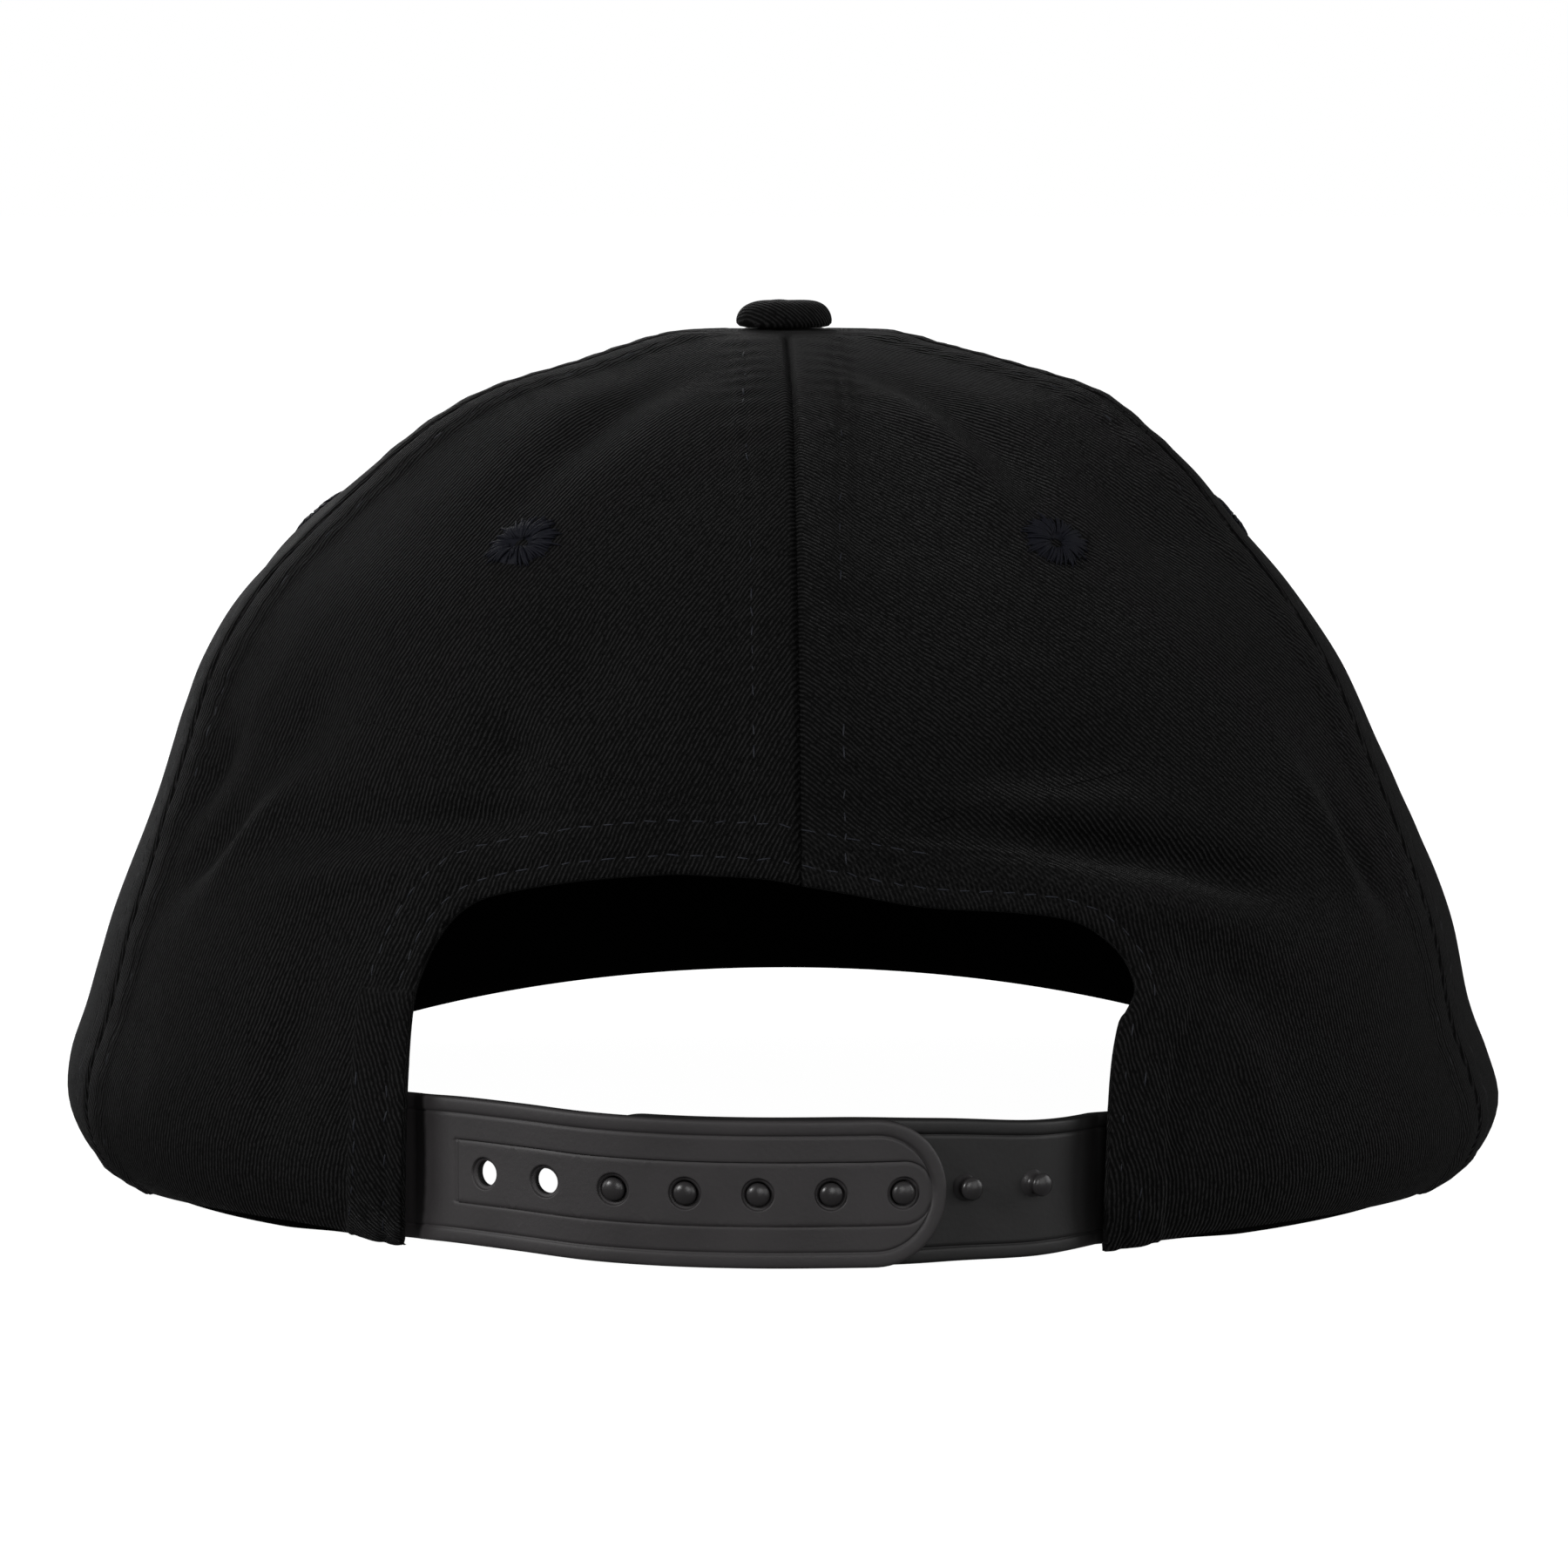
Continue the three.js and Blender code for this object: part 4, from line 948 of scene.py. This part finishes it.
# The walls of both straps take a near-black copy of the plastic: painted shade and painted dark reflection
# along their edges
painted_shade_edge_paint = strap_paint_of("strap_edge_painted_shade", (0.0006, 0.0006, 0.0006), (0.0016, 0.0015, 0.0015), 0.6)
hole_at = snap_half - np.arange(PEG_COUNT)[::-1] * PEG_PITCH
cell_start = hole_at[0] - PEG_PITCH / 2
channel_start = hole_at[0] - CHANNEL_PAST_HOLE
tip_middle = tip_left - strap_half
strap_end = line_length[0]


def left_relief(length, z):
    """Bead, channel line and countersinks of the left strap, from its flat coordinates in mm."""
    off_edge = np.where(length < tip_middle, strap_half - np.abs(z),
                        strap_half - np.hypot(np.maximum(length - tip_middle, 0), z))
    past = np.maximum(length - hole_at[-1], 0)
    side = np.abs(CHANNEL - np.hypot(past, z))
    box = np.where(np.abs(z) < CHANNEL, np.abs(length - channel_start), 99)
    off_line = np.where(length < channel_start, 99, side)
    off_line = np.minimum(off_line, box)
    off_hole = np.min(np.hypot(length[..., None] - hole_at, z[..., None]), axis=-1)
    line_mark = -0.13 * np.exp(-(off_line / 0.12) ** 2)
    inside = -0.06 * ease(CHANNEL - np.hypot(past, z), -0.1, 0.1) * ease(length - channel_start, -0.1, 0.1)
    sink = -0.40 * (1 - ease(off_hole, SINK - 0.2, SINK)) - 0.2 * (1 - ease(off_hole, BORE, BORE + 0.2))
    return bead_relief(off_edge) + line_mark + inside + sink


CELL_COLUMNS, END_COLUMNS = 16, 28
z_side = CHANNEL * np.sin(np.linspace(-1, 1, 21) * np.pi / 2)
before = np.concatenate([
    np.linspace(strap_end, channel_start - 0.3, 40),
    [channel_start - 0.12, channel_start, channel_start + 0.12],
    np.linspace(channel_start + 0.3, cell_start, 4)])
last_cell = cell_start + PEG_PITCH * (PEG_COUNT - 1)
cells = np.linspace(cell_start, last_cell, CELL_COLUMNS * (PEG_COUNT - 1) + 1)[1:]
half_cell = np.linspace(hole_at[-1] - PEG_PITCH / 2, hole_at[-1], CELL_COLUMNS // 2 + 1)[1:]
end_turn = np.linspace(-np.pi / 2, np.pi / 2, END_COLUMNS + 1)[1:-1]
straight = np.concatenate([before, cells])


def around_tip(level, start_at, steps):
    """Path from the bottom side round the tip to the top side at a distance from the middle
    line, evenly spaced over steps, from the length start_at."""
    run = max(tip_middle - start_at, 0)
    way = np.linspace(0, 2 * run + np.pi * level, steps + 1)
    turn = np.clip((way - run) / level, 0, np.pi) - np.pi / 2
    past = np.maximum(way - run - np.pi * level, 0)
    length = np.where(way < run, start_at + way, tip_middle + level * np.cos(turn) - past)
    return np.stack([length, level * np.sin(turn)], -1)


channel_run = np.concatenate([straight, half_cell])
channel_path = np.concatenate([
    np.stack([channel_run, np.full(len(channel_run), -CHANNEL)], -1),
    np.stack([hole_at[-1] + CHANNEL * np.cos(end_turn), CHANNEL * np.sin(end_turn)], -1),
    np.stack([channel_run[::-1], np.full(len(channel_run), CHANNEL)], -1)])
tip_steps = len(channel_path) - 2 * len(straight) + 1


def strap_path(level):
    """Path parallel to the strap's outline, with a point for each point of the channel line."""
    tip = around_tip(level, straight[-1], tip_steps)
    low = np.stack([straight[:-1], np.full(len(straight) - 1, -level)], -1)
    high = np.stack([straight[:-1][::-1], np.full(len(straight) - 1, level)], -1)
    return np.concatenate([low, tip, high])


bead_path = strap_path(strap_half - BEAD)
outline_path = strap_path(strap_half)
inner_share = np.array([0, 0.04, 0.08, 0.16, 0.34, 0.52, 0.70, 0.84, 0.92, 0.96])[:, None, None]
outer_share = np.array([0, 0.08, 0.16, 0.3, 0.5, 0.68, 0.8, 0.88, 0.94, 0.98, 1])[:, None, None]
band = np.concatenate([channel_path + (bead_path - channel_path) * inner_share,
                       bead_path + (outline_path - bead_path) * outer_share])
flat_points = [band.reshape(-1, 2)]
flat_faces = [grid_faces(*band.shape[:2])]
count = len(flat_points[0])

plain_length, plain_z = np.meshgrid(before, z_side)
flat_points.append(np.stack([plain_length, plain_z], -1).reshape(-1, 2))
flat_faces.append(grid_faces(len(z_side), len(before), count)[:, ::-1])
count += plain_length.size

ring_radius = np.array([BORE, 1.66, 1.72, 1.8, 1.88, 1.96, 2.04, 2.12, 2.2, 2.3, 2.45, 2.7])[:, None]
ring_share = np.array([0.3, 0.55, 0.8, 0.93, 0.97, 1.0])[:, None, None]
for number, hole in enumerate(hole_at):
    side_length = np.linspace(-PEG_PITCH / 2, PEG_PITCH / 2, CELL_COLUMNS + 1)
    left_side = np.stack([np.full(len(z_side), -PEG_PITCH / 2), z_side[::-1]], -1)
    if number < PEG_COUNT - 1:
        low = np.stack([side_length[1:], np.full(CELL_COLUMNS, -CHANNEL)], -1)
        right = np.stack([np.full(len(z_side) - 1, PEG_PITCH / 2), z_side[1:]], -1)
        high = np.stack([side_length[::-1][1:], np.full(CELL_COLUMNS, CHANNEL)], -1)
        rim = np.concatenate([low, right, high, left_side[1:]])
    else:
        half_length = half_cell - hole
        low = np.stack([half_length, np.full(len(half_length), -CHANNEL)], -1)
        round_end = np.stack([CHANNEL * np.cos(end_turn), CHANNEL * np.sin(end_turn)], -1)
        high = np.stack([half_length[::-1], np.full(len(half_length), CHANNEL)], -1)
        corner = np.array([[-PEG_PITCH / 2, CHANNEL]])
        rim = np.concatenate([low, round_end, high, corner, left_side[1:]])
    toward = rim / np.linalg.norm(rim, axis=1, keepdims=True)
    rings = toward * ring_radius[..., None]
    cell = np.concatenate([rings, rings[-1] + (rim - rings[-1]) * ring_share])
    cell = np.concatenate([cell, cell[:, :1]], axis=1)
    cell[..., 0] += hole
    flat_points.append(cell.reshape(-1, 2))
    flat_faces.append(grid_faces(*cell.shape[:2], count)[:, ::-1])
    count += cell.shape[0] * cell.shape[1]


def wall_of(faces, back):
    """Quads from each open edge of the faces to the same edge of the copy numbered from back."""
    edges = np.concatenate([np.stack([faces[:, k], faces[:, (k + 1) % 4]], -1) for k in range(4)])
    edges = edges[edges[:, 0] != edges[:, 1]]
    code = edges[:, 0].astype(np.int64) * back + edges[:, 1]
    other = edges[:, 1].astype(np.int64) * back + edges[:, 0]
    open_edges = edges[~np.isin(code, other)]
    start, end = open_edges[:, 0], open_edges[:, 1]
    return np.stack([end, start, start + back, end + back], -1)


flat_points = np.concatenate(flat_points)
flat_faces = np.concatenate(flat_faces)
_, first, same = np.unique(np.round(flat_points / 2e-4), axis=0, return_index=True, return_inverse=True)
flat_points = flat_points[first]
flat_faces = same.reshape(-1)[flat_faces]
flat_length, flat_z = flat_points[:, 0], flat_points[:, 1]
face_points = strap_point(flat_length, left_relief(flat_length, flat_z), flat_z)
off_edge = np.where(flat_length < tip_middle, strap_half - np.abs(flat_z),
                    strap_half - np.hypot(np.maximum(flat_length - tip_middle, 0), flat_z))
back_points = strap_point(flat_length, -STRAP_THICKNESS + 0.3 * (1 - ease(off_edge, 0, 0.4)), flat_z)
total = len(flat_points)
strap_faces = np.concatenate([flat_faces[:, ::-1], flat_faces + total, wall_of(flat_faces[:, ::-1], total)])
strap_left = put_mesh("moulded_strap_left", np.concatenate([face_points, back_points]), strap_faces)
strap_left.data.materials.append(plastic_paint)
strap_left.data.materials.append(painted_shade_edge_paint)
# Walls take the near-black edge copy, painted shade and reflection
strap_left.data.polygons.foreach_set(
    "material_index", (np.arange(len(strap_faces)) >= 2 * len(flat_faces)).astype(np.int32))
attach(strap_left, "root")
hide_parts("strap_left")

under_end = line_length[-1]
under_tip = -tip_left


def under_lap(length):
    """The right strap lies under the left one, then comes back out to its own foot."""
    return -(STRAP_THICKNESS + GAP) * (1 - ease(length, tip_left + GAP, tip_left + GAP + 1.5 * PEG_PITCH))


tip_turn = np.linspace(0, 1, 24) * np.pi / 2 * 0.985
under_length = np.concatenate([
    np.linspace(under_end, under_tip + strap_half, 240), under_tip + strap_half * (1 - np.sin(tip_turn[1:]))])
into_tip = np.maximum(under_tip + strap_half - under_length, 0)
half_here = np.sqrt(np.maximum(strap_half ** 2 - into_tip ** 2, 0))
off_rim = np.concatenate([
    [0, 0.02, 0.05, 0.1, 0.18, 0.32, 0.5, 0.8, 1.2, 1.5, 1.75, 1.9, 2.0, 2.1, 2.25, 2.6],
    np.linspace(3.4, strap_half, 8)])
level = 1 - np.concatenate([off_rim, 2 * strap_half - off_rim[::-1][1:]]) / strap_half
under_z = half_here[None] * level[:, None]
under_length = np.broadcast_to(under_length, under_z.shape)
off_edge = strap_half - np.hypot(np.maximum(under_tip + strap_half - under_length, 0), under_z)
sunk = (under_z + half_here) / (2 * strap_half) * STRAP_TAPER * ease(
    under_length, tip_left - 1.5 * PEG_PITCH, under_end - STRAP_TUCK)
outer = strap_point(under_length, under_lap(under_length) + bead_relief(off_edge), under_z - sunk)
inner = strap_point(under_length, under_lap(under_length) - STRAP_THICKNESS, under_z - sunk)
points = np.concatenate([outer.reshape(-1, 3), inner.reshape(-1, 3)])
faces = shell_faces(*outer.shape[:2])
peg_profile = np.array([
    (2.0, -0.3), (1.75, 0.02), (1.4, 0.18), (1.22, 0.45), (1.15, 0.9), (1.15, 1.25), (1.3, 1.4), (1.47, 1.52),
    (1.5, 1.68), (1.44, 1.86), (1.28, 2.04), (1.0, 2.2), (0.62, 2.32), (0.25, 2.37), (0.0, 2.38)])
for hole in -snap_half + np.arange(PEG_COUNT) * PEG_PITCH:
    peg, peg_faces = turned(peg_profile, 32)
    stand = strap_point(hole + peg[:, 0], under_lap(hole) + peg[:, 2], peg[:, 1])
    faces = np.concatenate([faces, peg_faces[:, ::-1] + len(points)])
    points = np.concatenate([points, stand])
strap_right = put_mesh("moulded_strap_right", points, faces)
# The right strap's body takes the darker copy of the plastic, painted shade
strap_right.data.materials.append(shaded_strap_paint)
strap_right.data.materials.append(painted_shade_edge_paint)
strap_right.data.materials.append(peg_paint)
number = np.arange(len(faces))
cells = (outer.shape[0] - 1) * (outer.shape[1] - 1)
on_peg = number >= len(shell_faces(*outer.shape[:2]))
# Walls take the near-black edge copy, painted shade and reflection
on_wall = (number >= 2 * cells) & ~on_peg
strap_right.data.polygons.foreach_set("material_index", (on_wall + 2 * on_peg).astype(np.int32))
weld(strap_right)
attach(strap_right, "root")
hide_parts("strap_right")

# Sweatband: a plain folded band of cotton sewn inside the rim from one foot of the opening round
# the front to the other, set in over the tucked ends of the straps.

SWEATBAND_HEIGHT, SWEATBAND_THICKNESS, SWEATBAND_INSET = 30, 1.0, 5
inset = SWEATBAND_INSET / (section(3, 0.0) * CROWN_DEPTH / 2)
band_angle, band_share = np.meshgrid(
    np.linspace(foot_right + inset, 2 * np.pi + foot_left - inset, 360), np.linspace(0, 1, 20))
band_row = row_at(SWEATBAND_HEIGHT / CROWN_HEIGHT)
past = np.minimum(band_angle - foot_right, 2 * np.pi + foot_left - band_angle) / tuck
set_in = (STRAP_THICKNESS + GAP) * (1 - ease(past, 1.2, 2))


def band_point(depth):
    """Point of the band: its rim under the crown's, going up without leaning out."""
    off = -(CLOTH + GAP + set_in + depth)
    rim = off_crown(band_angle, 0 * band_share, off)
    here = off_crown(band_angle, band_share * band_row, off)
    reach = np.minimum(1, np.hypot(rim[..., 0], rim[..., 1]) / np.hypot(here[..., 0], here[..., 1]))
    return np.stack([here[..., 0] * reach, here[..., 1] * reach, here[..., 2]], -1)


sweatband = put_shell("sewn_sweatband", band_point(0), band_point(SWEATBAND_THICKNESS))
band_paint = cotton("sweatband_cotton", (0.0004, 0.0004, 0.0004), (0.0013, 0.0013, 0.0014), 0.0, 0.5)
sweatband.data.materials.append(band_paint)
run = band_angle * 90
band_up = band_share * SWEATBAND_HEIGHT
band_weave = np.stack([(band_up - run) * 0.7, run * 0.7, 0 * run], -1).reshape(-1, 3)
keep_vector(sweatband, "weave", np.concatenate([band_weave, band_weave]))
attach(sweatband, "root")
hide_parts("sweatband")

# Peak: a board covered in the same twill and sewn under the lifted front edge, bent across so
# that its sides come down to the level of the rim, with rows of stitching along its edge.

PEAK_WIDTH, PEAK_LENGTH, PEAK_THICKNESS, PEAK_DROP, PEAK_SPAN, PEAK_END = 178, 69, 3, 4, 152, 6
PEAK_ROWS = (3.0, 9.0, 15.0, 21.0, 27.0, 33.0)
rim_half_width = section(1, 0.0) * CROWN_WIDTH / 2
rim_front = section(4, 0.0) * CROWN_DEPTH / 2
peak_side = crown(np.pi + np.radians(PEAK_SPAN / 2), 0.0)
peak_end = peak_side[1] + PEAK_END


def peak_point(u, v, height):
    """Point of the peak: from the front edge of the crown at v 0 to its own edge at v 1, bent
    down across by a parabola, and height mm over the underside."""
    angle = np.pi + np.radians((u - 0.5) * PEAK_SPAN)
    turn = (u - 0.5) * np.pi
    lifted = FRONT_LIFT * np.maximum(-np.cos(angle), 0) ** 1.3
    row = row_at(np.maximum(height, 1e-3) / (CROWN_HEIGHT - lifted))
    near = off_crown(angle, row, GAP)
    out_x = -PEAK_WIDTH / 2 * np.sign(turn) * np.abs(np.sin(turn)) ** 0.9
    out_y = peak_end + (rim_front + PEAK_LENGTH - peak_end) * np.maximum(np.cos(turn), 0) ** 0.62
    x = near[..., 0] + (out_x - near[..., 0]) * v
    y = near[..., 1] + (out_y - near[..., 1]) * v
    bent = FRONT_LIFT * (1 - (x / rim_half_width) ** 2)
    down = PEAK_DROP * v * np.hypot(out_x - near[..., 0], out_y - near[..., 1]) / PEAK_LENGTH
    low = lifted + (bent - down - lifted) * np.minimum(v * 4, 1)
    return np.stack([x, y, np.maximum(low, 0) + height], -1)


steps = np.linspace(0, 1, 181)
u, share = np.meshgrid(0.5 + 0.5 * np.sin((steps - 0.5) * np.pi), np.linspace(0, 1, 90))
v = 1 - (1 - share) ** 1.5
width_here = np.linalg.norm(peak_point(u, 0 * u + 1, 0 * u) - peak_point(u, 0 * u, 0 * u), axis=-1)
off_edge = (1 - v) * width_here
rows = sum(np.exp(-((off_edge - row) / 0.6) ** 2) for row in PEAK_ROWS)
fade = ease(width_here, 8, 20)
puff = -0.2 * rows * fade
rounding = (1 - np.sqrt(1 - np.clip(1 - off_edge / 1.5, 0, 1) ** 2)) * PEAK_THICKNESS / 2
upper = peak_point(u, v, PEAK_THICKNESS - rounding + puff)
lower = peak_point(u, v, rounding * 0.9)
peak = put_shell("covered_peak", upper[:, ::-1], lower[:, ::-1])
peak.data.materials.append(cloth_paint)
flat = upper[:, ::-1]
peak_weave = np.stack([flat[..., 0] * 0.94 + flat[..., 1] * 0.34, flat[..., 1] * 0.94], -1).reshape(-1, 2)
peak_weave = np.concatenate([peak_weave, 0 * peak_weave[:, :1]], axis=1)
keep_vector(peak, "weave", np.concatenate([peak_weave, peak_weave + (PEAK_THICKNESS, PEAK_THICKNESS, 0)]))
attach(peak, "root")
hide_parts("peak")
